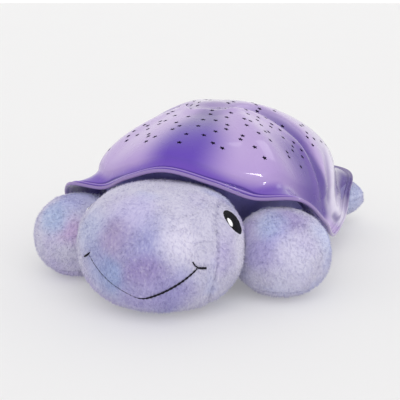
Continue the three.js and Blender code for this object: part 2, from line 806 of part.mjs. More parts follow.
function buildMainBoard() {
  const bores = boardScrewPlaces.map(([x, y]) => post(
    screwShaft + fitGap, mainBoardZ - overrun, mainBoardTop + overrun, x, y,
  ));
  const board = cutBy(
    block(mainBoardWidth, mainBoardLength, boardThickness, mainBoardX, shellAxisY, mainBoardZ), ...bores,
  );
  const chip = block(chipSize, 1.3 * chipSize, chipHeight, mainBoardX, shellAxisY, boardPartsZ);
  const capacitor = post(
    capacitorRadius, boardPartsZ, boardPartsZ + capacitorHeight, mainBoardX + chipSize, shellAxisY,
  );
  const header = block(headerLength, headerWidth, headerHeight, mainBoardX, headerY, boardPartsZ);
  add('main_board', board, materials.board);
  add('control_chip', chip, materials.blackPlastic);
  add('capacitor', capacitor, materials.blackPlastic);
  add('cable_header', header, materials.whitePlastic);
  boardScrewPlaces.forEach(([x, y], i) => {
    const form = screwForm(standoffHeight - 2 * fitGap).rotateX(Math.PI);
    const screw = add(`board_screw_${i + 1}`, form, materials.steel);
    screw.position.set(x, y, boardPartsZ + screwHeadHeight);
  });
}

// Button panel, buttons, switches and their board, all in the panel's own frame

const buttonRoof = -panelDepth + buttonFlangeHeight + buttonTravel + 3 * fitGap;
const flangeTop = buttonRoof - fitGap;
const stemEnd = flangeTop - buttonFlangeHeight - stemLength;
const plungerTop = stemEnd - buttonTravel - fitGap;
const buttonBoardTop = plungerTop - plungerHeight - switchHeight - fitGap;
const buttonPlaces = [
  { name: 'power', x: 0, y: powerRise, material: materials.whiteCap },
  { name: 'blue', x: -buttonPitch, y: -buttonRowDrop, material: materials.blueCap },
  { name: 'green', x: 0, y: -buttonRowDrop, material: materials.greenCap },
  { name: 'amber', x: buttonPitch, y: -buttonRowDrop, material: materials.amberCap },
];
const panelPostY = powerRise / 2;
const buttonSides = 12;

function buildPanel() {
  const posts = [-1, 1].map((side) => post(
    standoffRadius, buttonBoardTop + fitGap, -panelDepth + panelProud, side * panelPostX, panelPostY,
  ));
  const holes = buttonPlaces.flatMap(({ x, y }) => [
    post(buttonRadius + fitGap, -overrun, overrun, x, y, buttonSides),
    post(buttonRadius + buttonFlange + fitGap, -panelDepth - overrun, buttonRoof, x, y, buttonSides),
  ]);
  const pilots = [-1, 1].map((side) => post(
    screwShaft + fitGap, buttonBoardTop - overrun, -panelDepth, side * panelPostX, panelPostY,
  ));
  const plate = joined(panelSlab(0, -panelDepth, panelProud), ...posts);
  add('button_panel', cutBy(plate, ...holes, ...pilots), materials.panel, panelFrame);
}

function buttonForm() {
  const crown = buttonFlange / 2;
  return turned([
    [0, stemEnd], [stemRadius, stemEnd], [stemRadius, flangeTop - buttonFlangeHeight],
    [buttonRadius + buttonFlange, flangeTop - buttonFlangeHeight], [buttonRadius + buttonFlange, flangeTop],
    [buttonRadius, flangeTop], [buttonRadius, buttonProud - crown], [buttonRadius - crown, buttonProud],
    [0, buttonProud + crown / 2],
  ], buttonSides);
}

function buildButtons() {
  for (const { name, x, y, material } of buttonPlaces) {
    const button = add(`button_${name}`, buttonForm(), material, panelFrame);
    button.position.set(x, y, 0);
    const body = block(switchSize, switchSize, switchHeight, x, y, buttonBoardTop + fitGap);
    const plunger = post(plungerRadius, buttonBoardTop + switchHeight, plungerTop, x, y);
    add(`switch_${name}`, joined(body, plunger), materials.blackPlastic, panelFrame);
  }
}

function buildButtonBoard() {
  const bottom = buttonBoardTop - boardThickness;
  const bores = [-1, 1].map((side) => post(
    screwShaft + fitGap, bottom - overrun, buttonBoardTop + overrun, side * panelPostX, panelPostY,
  ));
  const board = cutBy(
    block(panelWidth - 2 * standoffRadius, panelHeight - 2 * fitGap, boardThickness, 0, 0, bottom), ...bores,
  );
  add('button_board', board, materials.board, panelFrame);
  const head = bottom - fitGap - screwHeadHeight;
  const length = boardThickness + stemLength;
  [['left', -1], ['right', 1]].forEach(([side, sign]) => {
    addScrew(`button_board_screw_${side}`, sign * panelPostX, panelPostY, head, length, panelFrame);
  });
}

// Cables

function panelPoint(x, y, z) {
  return new THREE.Vector3(x, y, z).applyMatrix4(panelFrame.matrix);
}

function buildLeads() {
  const boardEdge = mainBoardX - mainBoardWidth / 2 + 2 * standoffRadius;
  const besideTab = tabWidth / 2 + fitGap + leadRadius;
  const leads = [['lead_negative', -1, materials.blackPlastic], ['lead_positive', 1, materials.redLead]];
  for (const [name, side, material] of leads) {
    const tabY = shellAxisY + side * (boxInnerY / 2 - fitGap - plateThickness - leadRadius);
    const start = new THREE.Vector3(side * cellPitch + besideTab, tabY, boxTopZ + tabRise / 2 + fitGap);
    const endY = shellAxisY + side * (mainBoardLength / 2 - leadInset);
    const end = new THREE.Vector3(boardEdge, endY, boardPartsZ);
    const over = start.clone().add(end).divideScalar(2).setZ(boxTopZ + tabRise + 2 * leadRadius);
    const above = end.clone().setZ(boardPartsZ + 4 * leadRadius);
    add(name, tube(leadRadius, [start, over, above, end], 8), material);
  }
}

function buildLampCable() {
  const x = towerFoot + 2 * lampCableRadius;
  const landingY = shellAxisY - mainBoardLength / 2 + lampCableInset;
  const start = new THREE.Vector3(lampBoardRadius - lampCableRadius, shellAxisY, lampBoardZ - fitGap);
  const points = [
    start,
    new THREE.Vector3(lampBoardRadius, shellAxisY, towerTopZ - 4 * lampCableRadius),
    new THREE.Vector3(x, shellAxisY - chipSize, (towerTopZ + towerFootZ) / 2),
    new THREE.Vector3(mainBoardX, landingY, boardPartsZ + 4 * lampCableRadius),
    new THREE.Vector3(mainBoardX, landingY, boardPartsZ),
  ];
  add('lamp_cable', tube(lampCableRadius, points, 16), materials.greyLead);
}

function buildRibbon() {
  const start = panelPoint(0, 0, buttonBoardTop - boardThickness - fitGap);
  const away = panelPoint(0, 0, buttonBoardTop - boardThickness - 2 * ribbonWidth);
  const headerTop = boardPartsZ + headerHeight + fitGap;
  const points = [
    start, away,
    new THREE.Vector3(mainBoardX / 2, (away.y + headerY) / 2, (away.z + headerTop) / 2 + ribbonWidth),
    new THREE.Vector3(mainBoardX, headerY, headerTop + 2 * ribbonWidth),
    new THREE.Vector3(mainBoardX, headerY, headerTop),
  ];
  const outline = new THREE.Shape();
  outline.moveTo(-ribbonThickness / 2, -ribbonWidth / 2);
  outline.lineTo(ribbonThickness / 2, -ribbonWidth / 2);
  outline.lineTo(ribbonThickness / 2, ribbonWidth / 2);
  outline.lineTo(-ribbonThickness / 2, ribbonWidth / 2);
  const ribbon = new THREE.ExtrudeGeometry(outline, {
    steps: 24, extrudePath: new THREE.CatmullRomCurve3(points),
  });
  add('button_ribbon', ribbon, materials.greyLead);
}

// Stuffed pieces

const bodyColumns = 36;

function bodyReach(angle) {
  return tubRadius + (shellReach - tubRadius) * station(bodyFillShares, angle);
}

// Points are [reach, height] pairs from the table up to the top of the cushion
function bodyProfile(angle, grow) {
  const reach = bodyReach(angle);
  const swell = bodyTopZ / 3;
  return [
    [reach - swell, -grow],
    [reach - swell / 4 + grow, bodyTopZ / 4],
    [reach + grow, 0.55 * bodyTopZ],
    [reach - swell / 4 + grow, 0.85 * bodyTopZ + grow],
    [(reach + tubRadius) / 2, bodyTopZ + grow],
  ];
}

function bodyRings(grow) {
  const rows = bodyProfile(0, grow).length;
  return Array.from({ length: rows }, (_, row) => ringAt(bodyColumns, (a) => {
    const [reach, z] = bodyProfile(a, grow)[row];
    return around(a, reach, z);
  }));
}

function buildBody() {
  const inner = (reach, z) => ringAt(bodyColumns, (a) => around(a, reach, z));
  const ringSide = ringOuter + fitGap;
  const tubSide = tubRadius + 2 * fitGap;
  const rings = [
    inner(ringSide, ringTopZ), inner(ringSide, 0), ...bodyRings(0),
    inner(tubSide, bodyTopZ - 2 * tubEdge), inner(tubSide, ringTopZ),
  ];
  add('plush_body', skin(rings, true), materials.plush);
}

function bodyEnvelope() {
  const lid = new THREE.Vector3(0, shellAxisY, bodyTopZ);
  const keel = new THREE.Vector3(0, shellAxisY, -overrun);
  return skin([[keel], ...bodyRings(fitGap), [lid]]);
}

// A stuffed form with its own width, depth ahead, depth behind and height
function stuffed({ halfWidth, ahead, behind, halfHeight, roundness, grow = 0, columns = 24, rows = 12 }) {
  const bend = (value) => Math.sign(value) * Math.abs(value) ** (2 / roundness);
  const ring = (climb) => Array.from({ length: columns }, (_, i) => {
    const turn = 2 * Math.PI * i / columns;
    const depth = (Math.cos(turn) > 0 ? ahead : behind) + grow;
    const level = bend(Math.cos(climb));
    return new THREE.Vector3(
      level * Math.sin(turn) * (halfWidth + grow), -level * Math.cos(turn) * depth,
      bend(Math.sin(climb)) * (halfHeight + grow),
    );
  });
  const rings = [[new THREE.Vector3(0, 0, -halfHeight - grow)]];
  for (let i = 1; i < rows; i += 1) rings.push(ring(-Math.PI / 2 + Math.PI * i / rows));
  rings.push([new THREE.Vector3(0, 0, halfHeight + grow)]);
  return skin(rings);
}

function underFloor() {
  const span = 4 * shellReach;
  return block(span, span, shellHeight, 0, shellAxisY, -shellHeight);
}

function headForm(grow = 0) {
  return stuffed({
    halfWidth: headHalfWidth, ahead: headFront, behind: headRear, halfHeight: headHalfHeight,
    roundness: headBoxiness, grow, columns: 26, rows: 12,
  }).translate(0, headY, headZ);
}

function buildHead() {
  add('plush_head', cutBy(headForm(), bodyEnvelope(), housingEnvelope(), underFloor()), materials.plush);
}

function flipperForm(flipper, side) {
  const form = stuffed({
    halfWidth: flipper.width, ahead: flipper.length, behind: flipper.length, halfHeight: flipper.height,
    roundness: flipper.roundness, columns: 18, rows: 9,
  });
  const reach = bodyReach(flipper.bearingAngle) + flipper.standsOut;
  const { x, y, z } = around(side * flipper.bearingAngle, reach, flipper.bottom + flipper.height);
  return form.rotateZ(radians(side * flipper.headingAngle)).translate(x, y, z);
}

function buildFlippers() {
  const round = [bodyEnvelope(), housingEnvelope(), underFloor(), ...shellScrewPockets()];
  for (const [sideName, side] of [['left', 1], ['right', -1]]) {
    const front = cutBy(flipperForm(frontFlipper, side), headForm(fitGap), ...round);
    add(`front_${sideName}_flipper`, front, materials.plush);
    const rear = cutBy(flipperForm(rearFlipper, side), ...round);
    add(`rear_${sideName}_flipper`, rear, materials.plush);
  }
}

function buildTail() {
  const form = stuffed({
    halfWidth: tailHalfWidth, ahead: tailLength, behind: tailLength, halfHeight: tailHalfHeight,
    roundness: headBoxiness, columns: 14, rows: 8,
  }).translate(0, shellAxisY + tailReach - tailLength, tailZ);
  add('plush_tail', cutBy(form, bodyEnvelope()), materials.plush);
}

// Embroidery lies on the head as a thin skin
function stitching(outline) {
  const layer = cutBy(headForm(fitGap + stitchLift), headForm(fitGap));
  return overlapOf(layer, outline);
}

function buildEyes() {
  for (const [sideName, side] of [['left', 1], ['right', -1]]) {
    const oval = new THREE.CylinderGeometry(1, 1, 2 * overrun, 16).scale(eyeHalfWidth, 1, eyeHalfHeight);
    const turn = radians(eyeAngle);
    const level = (1 - (eyeRise / headHalfHeight) ** headBoxiness) ** (1 / headBoxiness);
    const x = side * level * headHalfWidth * Math.sin(turn);
    const y = headY - level * headFront * Math.cos(turn);
    oval.rotateZ(side * (turn + Math.PI)).translate(x, y, headZ + eyeRise);
    add(`eye_${sideName}`, stitching(oval), materials.thread);
  }
}

function smileHeight(x) {
  const rise = (smileEndRise + smileMiddleDrop) * (Math.abs(x) / smileHalfWidth) ** smileRoundness;
  return headZ - smileMiddleDrop + rise;
}

function buildSmile() {
  const steps = 12;
  const band = new THREE.Shape();
  const xs = Array.from({ length: steps + 1 }, (_, i) => smileHalfWidth * (2 * i / steps - 1));
  xs.forEach((x, i) => band[i ? 'lineTo' : 'moveTo'](x, smileHeight(x) - smileThread));
  xs.reverse().forEach((x) => band.lineTo(x, smileHeight(x) + smileThread));
  const deep = { depth: headFront, bevelEnabled: false };
  const curve = new THREE.ExtrudeGeometry(band, deep);
  const ticks = [-1, 1].map((side) => {
    const tick = new THREE.BoxGeometry(tickLength, 2 * smileThread, headFront);
    tick.rotateZ(radians(-side * tickAngle));
    return tick.translate(side * smileHalfWidth, smileHeight(smileHalfWidth), headFront / 2);
  });
  const cutter = joined(curve, ...ticks).rotateX(Math.PI / 2).translate(0, headY - fitGap, 0);
  add('smile_stitching', stitching(cutter), materials.thread);
}

buildShell();
buildHousing();
buildBellyRing();
buildShellScrews();
buildBatteryBox();
buildBatteryDoor();
buildCells();
buildTower();
buildLamps();
buildMainBoard();
buildPanel();
buildButtons();
buildButtonBoard();
buildLeads();
buildLampCable();
buildRibbon();
buildBody();
buildHead();
buildFlippers();
buildTail();
buildEyes();
buildSmile();

export default turtle;
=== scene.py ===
"""Star night light: a stuffed turtle under a glossy shell that is pierced with small stars.

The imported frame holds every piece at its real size. This script gives the pieces their looks.
"""
import json
import math

import bmesh
import bpy
import numpy as np
from mathutils import Matrix, Vector, noise
from mathutils.bvhtree import BVHTree

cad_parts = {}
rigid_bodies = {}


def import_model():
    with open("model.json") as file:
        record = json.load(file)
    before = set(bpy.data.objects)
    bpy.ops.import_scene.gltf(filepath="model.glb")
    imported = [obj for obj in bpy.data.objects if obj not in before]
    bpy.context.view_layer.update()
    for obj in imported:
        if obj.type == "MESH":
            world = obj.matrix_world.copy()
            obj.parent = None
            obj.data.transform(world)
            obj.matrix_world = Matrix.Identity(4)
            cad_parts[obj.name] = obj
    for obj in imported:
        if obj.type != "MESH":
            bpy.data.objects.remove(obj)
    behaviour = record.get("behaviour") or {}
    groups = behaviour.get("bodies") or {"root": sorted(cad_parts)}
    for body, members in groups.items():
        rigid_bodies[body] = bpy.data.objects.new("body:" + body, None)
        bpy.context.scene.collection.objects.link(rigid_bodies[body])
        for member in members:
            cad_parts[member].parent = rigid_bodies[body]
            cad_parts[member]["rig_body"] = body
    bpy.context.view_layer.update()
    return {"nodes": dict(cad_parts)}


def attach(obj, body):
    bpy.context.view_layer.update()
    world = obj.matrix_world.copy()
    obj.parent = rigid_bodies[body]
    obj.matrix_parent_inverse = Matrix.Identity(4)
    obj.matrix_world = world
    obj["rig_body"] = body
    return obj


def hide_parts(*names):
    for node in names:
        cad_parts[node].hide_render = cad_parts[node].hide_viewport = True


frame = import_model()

bl_info = {
    "name": "Star Night Light Turtle",
    "version": (1, 0, 0),
    "blender": (4, 5, 0),
    "location": "3D Viewport > Sidebar > Turtle",
    "description": "Dresses a stuffed turtle night light round its packed frame",
    "category": "Object",
}

MM = 0.001
TINY = 1e-12
WELD = 1e-6
FRAME_WELD = 0.01 * MM
SIDES = {"left": 1, "right": -1}

# Shell: a polar form round an upright axis, with a station every 15 degrees from the head to the tail
SHELL_AXIS_Y = 29 * MM
SHELL_REACH = 120 * MM
SHELL_HEIGHT = 129.5 * MM
SHELL_WALL = 2.4 * MM
LIP_THICKNESS = 2.2 * MM
CROWN_OFFSET = 12 * MM
CROWN_ROUNDNESS = 1.62
CROWN_SHOULDER = 0.576
RIM_REACH_SHARES = (1.08, 1.04, 0.99, 1.1, 1.05, 0.963, 0.94, 1.005, 1.115, 1.3, 1.2, 1.13, 1.1)
RIM_HEIGHT_SHARES = (
    0.741, 0.669, 0.563, 0.556, 0.376, 0.218, 0.167, 0.21, 0.31, 0.395, 0.42, 0.44, 0.46,
)
BASE_REACH_SHARES = (
    0.983, 0.956, 0.921, 0.875, 0.825, 0.808, 0.817, 0.873, 0.975, 1.09, 1.08, 1.04, 1.01,
)
BASE_HEIGHT_SHARES = (
    0.803, 0.741, 0.655, 0.625, 0.51, 0.425, 0.385, 0.415, 0.46, 0.495, 0.51, 0.525, 0.54,
)
BRIM_DROP_SHARE = 0.88
BRIM_OUT_SHARE = 0.12
WAIST_GROOVE_DEPTH = 2.4 * MM
WAIST_GROOVE_WIDTH = 9 * MM
WAIST_GROOVE_FRONT = 12 * MM
WAIST_GROOVE_BEND = 30 * MM
FRONT_GROOVE_DEPTH = 1.6 * MM
FRONT_GROOVE_WIDTH = 14 * MM
HEART_Z = 34 * MM
LIP_ZONE = 10 * MM
LABEL_SPAN = 20 * MM
COURSE_NUDGE = 0.01
LINE_FROM_LIP = 2.8 * MM
RIDGE_FROM_LIP = 4.9 * MM
GROOVE_FROM_LIP = 7.2 * MM

# Ridges and grooves along the lip: distance from the edge, width, and height as a share of the bead's
LIP_RELIEF = (
    (0.8 * MM, 1.1 * MM, 0.8), (LINE_FROM_LIP, 0.9 * MM, -0.8), (RIDGE_FROM_LIP, 1.0 * MM, 0.9),
    (GROOVE_FROM_LIP, 1.1 * MM, -0.8),
)

# Rows of the shell's double skin
SHELL_COLUMNS = 360
DOME_ROWS = 96
DOME_ROW_SPREAD = 0.8
BRIM_ROWS = 24
LIP_ROWS = 18
TURN_ROWS = 8
INNER_BRIM_ROWS = 12
INNER_DOME_ROWS = 40

# The rear edge of the front scales, with a bay in its middle. Pairs are where a turn starts and ends
CREST_MIDDLE_X = 1 * MM
CREST_AHEAD = 28 * MM
CREST_SWEEP = 42.5 * MM
CREST_HOOK = 24 * MM
CREST_BAY = (8 * MM, 38 * MM)
CREST_TURN = (68 * MM, 100 * MM)
CREST_EDGE = -0.8 * MM
CREST_RISE_FROM = -20 * MM
CREST_DROP_TO = 2.6 * MM
CREST_TROUGH = (4 * MM, 26 * MM)
REAR_GROOVE_START = (20 * MM, 50 * MM)

# The flank behind the scales: a spine, and a crease, a slit and a hollow beside it
SPINE_COURSES = (0.9, 1.0, 1.5, 2.0)
SPINE_BEARINGS = (124, 112, 105, 101)
SPINE_HEIGHT = 1.4 * MM
SPINE_WIDTH = 3.6
CREASE_DEPTH = 2.2 * MM
CREASE_AHEAD = 9
CREASE_COURSE = 1.1
SLIT_DEPTH = 1.8 * MM
SLIT_BEARING = 100
SLIT_COURSE = 1.68
HOLLOW_DEPTH = 2.2 * MM
HOLLOW_BEHIND = 18
HOLLOW_WIDTH = 8

# Tones beside the settings: the colour on a screen and how strongly it is laid on
TONES = {
    "crown": ((146, 138, 168), 0.6),
    # Deep violet where the scales turn away: the waist groove's paint with painted shade
    "turned_away_violet_and_shade": ((70, 30, 142), 0.95),
    "before_crest": ((130, 96, 180), 0.3),
    # Painted highlight along the crest
    "crest_highlight": ((222, 214, 236), 0.45),
    # Painted highlight along the spine
    "spine": ((224, 218, 234), 0.7),
    # Painted shade in the crease and the slit
    "creases": ((112, 98, 152), 0.75),
    # Painted shade on the brim behind the spine
    "rear": ((118, 108, 150), 0.7),
    "facet": ((66, 36, 132), 0.9),
    # Painted shade in the lip's grooves
    "lip_groove_shade": ((66, 38, 136), 0.85),
    # Painted highlight on the lip's raised line
    "lip_thread": ((176, 154, 208), 0.6),
    "inside": ((112, 102, 164), 1.0),
    "shaded_speck": ((112, 104, 166), 0.28),
    "pale_speck": ((236, 233, 246), 0.22),
    "seam_thread": ((96, 90, 140), 1.0),
}
VALLEY_MIDDLE_X = 8.5 * MM
VALLEY_TOP_WIDTH = 9 * MM
VALLEY_SPREAD = 14 * MM
VALLEY_WANDER = 8 * MM
FACET_BEHIND = 22

# Star holes
STAR_COUNT = 112
STAR_SPREAD_SHARE = 0.93
STAR_CROWN_SHARE = 0.03
STAR_RING_JITTER = 2.8
STAR_JITTER_ANGLE = 21
STAR_NOTCH_SHARE = 0.5
STAR_BETWEEN_SHARE = 0.84
STAR_ROOM = 5.4 * MM
STAR_PANEL_ROOM = 6 * MM
STAR_TURNS = 3
RING_SEED = 12.9898
TURN_SEED = 78.233
SCATTER_STRETCH = 43758.5453
GOLDEN_ANGLE = 137.508

# Button panel in the rear of the shell
PANEL_COURSE_SHARE = 0.8
PANEL_HALF_WIDTH = 28 * MM
PANEL_HALF_HEIGHT = 15 * MM
PANEL_CORNER = 12 * MM
PANEL_PROUD = 1.8 * MM
PANEL_DEPTH = 5 * MM
FIT_GAP = 0.3 * MM
CAP_RADIUS = 5 * MM
CAP_PROUD = 3.2 * MM
CAP_PLACES = {
    "power": (0, 7.5 * MM), "blue": (-14 * MM, -6 * MM), "green": (0, -6 * MM), "amber": (14 * MM, -6 * MM),
}
PANEL_ROUNDING = 0.8 * MM
CAP_ROUNDING = 0.5 * MM
BELLY_ROUNDING = 0.6 * MM
COLLAR_RADIUS = CAP_RADIUS + 0.9 * MM
COLLAR_THICKNESS = 0.45 * MM
LAMP_MARK_RADIUS = 1.5 * MM
LAMP_MARK_THICKNESS = 0.3 * MM
POWER_ARC_RADIUS = 2.2 * MM
POWER_ARC_TURN = 300
POWER_MARK_THICKNESS = 0.28 * MM
POWER_BAR_HALF_SIZES = (0.3 * MM, 1.3 * MM)
POWER_BAR_UP = 1.6 * MM
POWER_BAR_SINK = 0.2 * MM
POWER_BAR_ROUNDING = 0.08 * MM

# Face, as it lies on the head
EYE_CENTRE = Vector((54.4, -109.6, 64.6)) * MM
EYE_NORMAL = (0.86, -0.2, 0.5)
EYE_HALF_SIZES = (8.2 * MM, 12.2 * MM)
EYE_LEAN = 45
EYE_LIFT = 0.5 * MM
EYE_CLEARS = (0.95, 1.1)
GLINT_HALF_SIZES = (2.5 * MM, 3.5 * MM)
GLINT_BACK = -7 * MM
GLINT_UP = 2 * MM
GLINT_LIFT = 0.9 * MM
SKIN_SEARCH = 40 * MM
FACE_AHEAD_Y = -180 * MM
SATIN_STITCH = 0.8 * MM
SATIN_RELIEF = 0.06 * MM
SATIN_DEPTH = 0.5 * MM
SATIN_LABEL_SPAN = 10 * MM
SMILE_MIDDLE_X = 3 * MM
SMILE_LOW_Z = 21.3 * MM
SMILE_HALF = 37 * MM
SMILE_SLOPE = 0.5
SMILE_ROUND = 5 * MM
SMILE_END_RISE = 6 * MM
SMILE_ENDS = (-36.5 * MM, 40 * MM)
SMILE_STEP = 0.45 * MM
SMILE_STITCH = 3 * MM
SMILE_BOLD = (-2 * MM, 12 * MM)
SMILE_TAPER = (28 * MM, 40 * MM)
SMILE_PROUD = 0.5 * MM
SMILE_CLEARS = (0.9 * MM, 1.8 * MM)
SMILE_TICKS = (
    (((37.1, 47.9), (38.4, 45.3), (40.3, 43.4), (42.4, 42.8), (44.6, 42.5)), 0.85),
    (((-35.4, 48.2), (-36.9, 46.7), (-38.6, 45.3), (-41, 43.6)), 0.75),
)
SEAM_X = 50.5 * MM
SEAM_MIDDLE_Z = 50 * MM
SEAM_SPAN = 27.5 * MM
SEAM_BEND_ABOVE = 7.4 * MM
SEAM_BEND_BELOW = 4.6 * MM
DART_X = -3 * MM
DART_SHALLOW = 1 * MM
DART_FRONT_Y = -138 * MM
DART_LOW_Z = 60 * MM
FRONT_FLIPPER_SEAM_Z = 8.7 * MM
REAR_FLIPPER_SEAM_Z = 27 * MM
TAIL_SEAM_Z = 24 * MM

# Stuffed body, head, flippers and tail
TUB_RADIUS = 73.97 * MM
RING_OUTER = TUB_RADIUS - 6 * MM
BODY_FILL_SHARES = (0.27, 0.295, 0.4, 0.48, 0.53, 0.557, 0.583, 0.635, 0.74, 0.87, 1, 1.08, 1.105)
BODY_SKIN_SHARES = (0.1, 0.5, 0.2, 0.2)
BODY_COLUMNS = 288
BODY_ROWS = 80
BODY_EDGE = 12.7 * MM
BODY_ROUND_REACH = 12.2 * MM
BODY_ROUND_HEIGHT = 16.6 * MM
BODY_MIDDLE_Z = 17 * MM
BODY_TOP_SWELL = 4 * MM
BODY_TOP_DROP = 4 * MM
BODY_TUB_GAP = 0.8 * MM
BODY_RING_GAP = 0.5 * MM
BODY_FLOOR_Z = 0.4 * MM
BODY_PILE_STARTS = (TUB_RADIUS + 2 * MM, TUB_RADIUS + 6 * MM)
COVER_SLACK = 1.6 * MM
COVER_STIFFNESS = 0.3
PUFF_PRESSURE = 400.0
PUFF_STEPS = 20
PUFF_QUALITY = 4
NEIGHBOUR_CUT = (1.2 * MM, 3.5 * MM)
NEIGHBOUR_GAP = 0.8 * MM
HELD_CUT = 0.3
SLACK_FLOOR_GAP = 0.3 * MM
FLOOR_GAP = 0.2 * MM
LUMP_HEIGHT = 0.7 * MM
LUMPS_PER_METRE = 40
NAP_PER_METRE = 420
SEAM_THREAD_WIDTH = 0.7 * MM
SEAM_DEPTH = 0.6 * MM
SEAM_WIDTH = 1.0 * MM
SEAM_PUCKER = 5 * MM
SEAM_ROLL_HEIGHT = 0.25 * MM
SEAM_ROLL_FROM = 3.2 * MM
SEAM_ROLL_WIDTH = 1.6 * MM
PILE_STARTS_Z = (2.2 * MM, 4 * MM)
BLADE_RADIUS = 0.2 * MM
BLADE_SIZES = (0.6, 1.2)
BLADE_UPRIGHT = 0.75
SWIRL_SIZE = 11 * MM
SWIRL_STRENGTH = 2.6
TOUSLE = 0.45

# Clouds of dye: the setting, their size, where their noise is read, and where they start and are full
DYE_CLOUDS = (
    ("blue_colour", 40 * MM, (0, 0, 0), (0.52, 0.74)),
    ("violet_colour", 46 * MM, (0.31, 0.17, 0.53), (0.52, 0.76)),
)
CLOUD_STRENGTH = 0.5
PATCH_STRENGTH = 0.8
DRIFT_SIZE = 24 * MM
DRIFT_REACH = 16 * MM
SPECK_SIZE = 1.6 * MM
SPECK_STRETCH = (1, 1, 0.5)

# Stuffed forms. Their heading is how far they turn from the way the turtle looks, in degrees
HEAD = {
    "centre": Vector((0, -111, 43.48)) * MM, "heading": 0, "half_width": 60.5 * MM, "ahead": 54 * MM,
    "behind": 68 * MM, "half_height": 43.98 * MM, "roundness": 2.4,
}
FRONT_FLIPPER = {
    "bearing": 39, "stands_out": 32.6 * MM, "middle_z": 32.5 * MM, "heading": 74, "half_width": 36 * MM,
    "ahead": 38 * MM, "behind": 38 * MM, "half_height": 33 * MM, "roundness": 2.15,
}
REAR_FLIPPER = {
    "bearing": 136, "stands_out": 23.6 * MM, "middle_z": 27 * MM, "heading": 128, "half_width": 25 * MM,
    "ahead": 33 * MM, "behind": 33 * MM, "half_height": 18 * MM, "roundness": 2.1,
}
TAIL = {
    "centre": Vector((0, 148, 24)) * MM, "heading": 0, "half_width": 13 * MM, "ahead": 17 * MM,
    "behind": 17 * MM, "half_height": 10 * MM, "roundness": 2.4,
}

# Patches of dye on the plush, and two pale patches of painted highlight on the head: place and radius in
# millimetres, and the colour or the setting it takes
HEAD_PATCHES = (
    ((-7, -150, 77), 26, (190, 184, 222)),
    ((-26, -158, 56), 34, (158, 150, 192)),
    ((-40, -146, 62), 26, (176, 182, 212)),
    ((-20, -160, 36), 32, (150, 160, 202)),
    ((-14, -160, 62), 20, (160, 146, 184)),
    ((10, -161, 60), 26, (144, 145, 196)),
    ((-15, -163, 34), 20, (148, 162, 204)),
    ((6, -164, 42), 22, (150, 134, 186)),
    ((22, -158, 24), 28, (152, 144, 196)),
    ((0, -158, 18), 22, (166, 158, 204)),
    # A pale patch of painted highlight on the middle of the face
    ((27, -156, 60), 20, (216, 212, 230)),
    # A pale patch of painted light on the head's left side, lifting the shade there
    ((58, -108, 44), 28, (226, 223, 236)),
)
FRONT_FLIPPER_PATCHES = (
    ((88, -84, 64), 22, (150, 136, 190)),
    ((71, -104, 44), 24, (166, 158, 206)),
    ((82, -98, 54), 16, (170, 166, 214)),
    ((76, -90, 62), 18, (178, 188, 224)),
    ((118, -72, 46), 24, (204, 210, 236)),
    ((100, -104, 40), 26, (210, 208, 228)),
    ((92, -104, 16), 24, (206, 204, 224)),
    ((-82, -78, 64), 26, (160, 162, 206)),
    ((-74, -104, 46), 20, (190, 166, 206)),
    ((-90, -96, 52), 20, (166, 182, 216)),
)
REAR_FLIPPER_PATCHES = (((118, 115, 34), 34, (184, 192, 224)), ((-110, 125, 30), 30, "violet_colour"))
TAIL_PATCHES = (((0, 155, 26), 14, "blue_colour"),)
BODY_PATCHES = (((0, 130, 20), 50, "blue_colour"), ((90, 60, 20), 40, "violet_colour"))

# Camera, as fitted to the photograph, and the room
CAMERA_AZIMUTH = 16
CAMERA_ELEVATION = 14.7
CAMERA_DISTANCE = 651 * MM
CAMERA_AIM = Vector((-1.1, -3.0, 49.2)) * MM
PHOTO_SIDE_PIXELS = 400
FOCAL_PIXELS = 768
SENSOR_WIDTH = 36
FLOOR_REACH = 40
LAMP_AIM = Vector((0.05, -0.05, 0.08))
SUN_PLACE = (0.45, -0.75, 1.0)
SUN_SPREAD = 60
SOFT_BOXES = {
    "window": ((0.55, 0.9, 0.9), (0.5, 0.4), 1.0),
    "strip": ((1.27, -0.18, 0.66), (0.07, 0.3), 2.4),
}


def srgb(red, green, blue):
    """A colour given as it looks on a screen, 0 to 255, as the linear colour that a shader takes."""
    shares = [value / 255 for value in (red, green, blue)]
    linear = [s / 12.92 if s <= 0.04045 else ((s + 0.055) / 1.055) ** 2.4 for s in shares]
    return (*linear, 1.0)


# Sizes and colours that a user would change


def length_property(name, about, default):
    return bpy.props.FloatProperty(name=name, description=about, default=default, min=0, unit="LENGTH")


def colour_property(name, about, *screen):
    return bpy.props.FloatVectorProperty(
        name=name, description=about, default=srgb(*screen), size=4, min=0, max=1, subtype="COLOR",
    )


def strength_property(name, about, default):
    return bpy.props.FloatProperty(name=name, description=about, default=default, min=0)


class ShellSettings(bpy.types.PropertyGroup):
    star_radius: length_property("Star radius", "From a star hole's middle to its points", 2.5 * MM)
    bead_height: length_property("Bead height", "How far the lip's bead stands proud", 0.8 * MM)
    crest_height: length_property("Crest height", "Step behind the front scales", 1.1 * MM)
    scale_colour: colour_property("Scale", "Pearly lilac on the middle of each scale", 178, 154, 207)
    groove_colour: colour_property("Groove", "Violet in the grooves between the scales", 80, 44, 168)
    shade_colour: colour_property("Crown groove", "Greyer violet near the crown", 116, 104, 156)
    rim_colour: colour_property("Rim", "Violet that deepens towards the rim", 104, 70, 174)
    flank_colour: colour_property("Flank", "Pale lavender grey behind the scales", 178, 168, 200)
    lip_colour: colour_property("Lip", "Pale bead along the lip", 152, 132, 178)


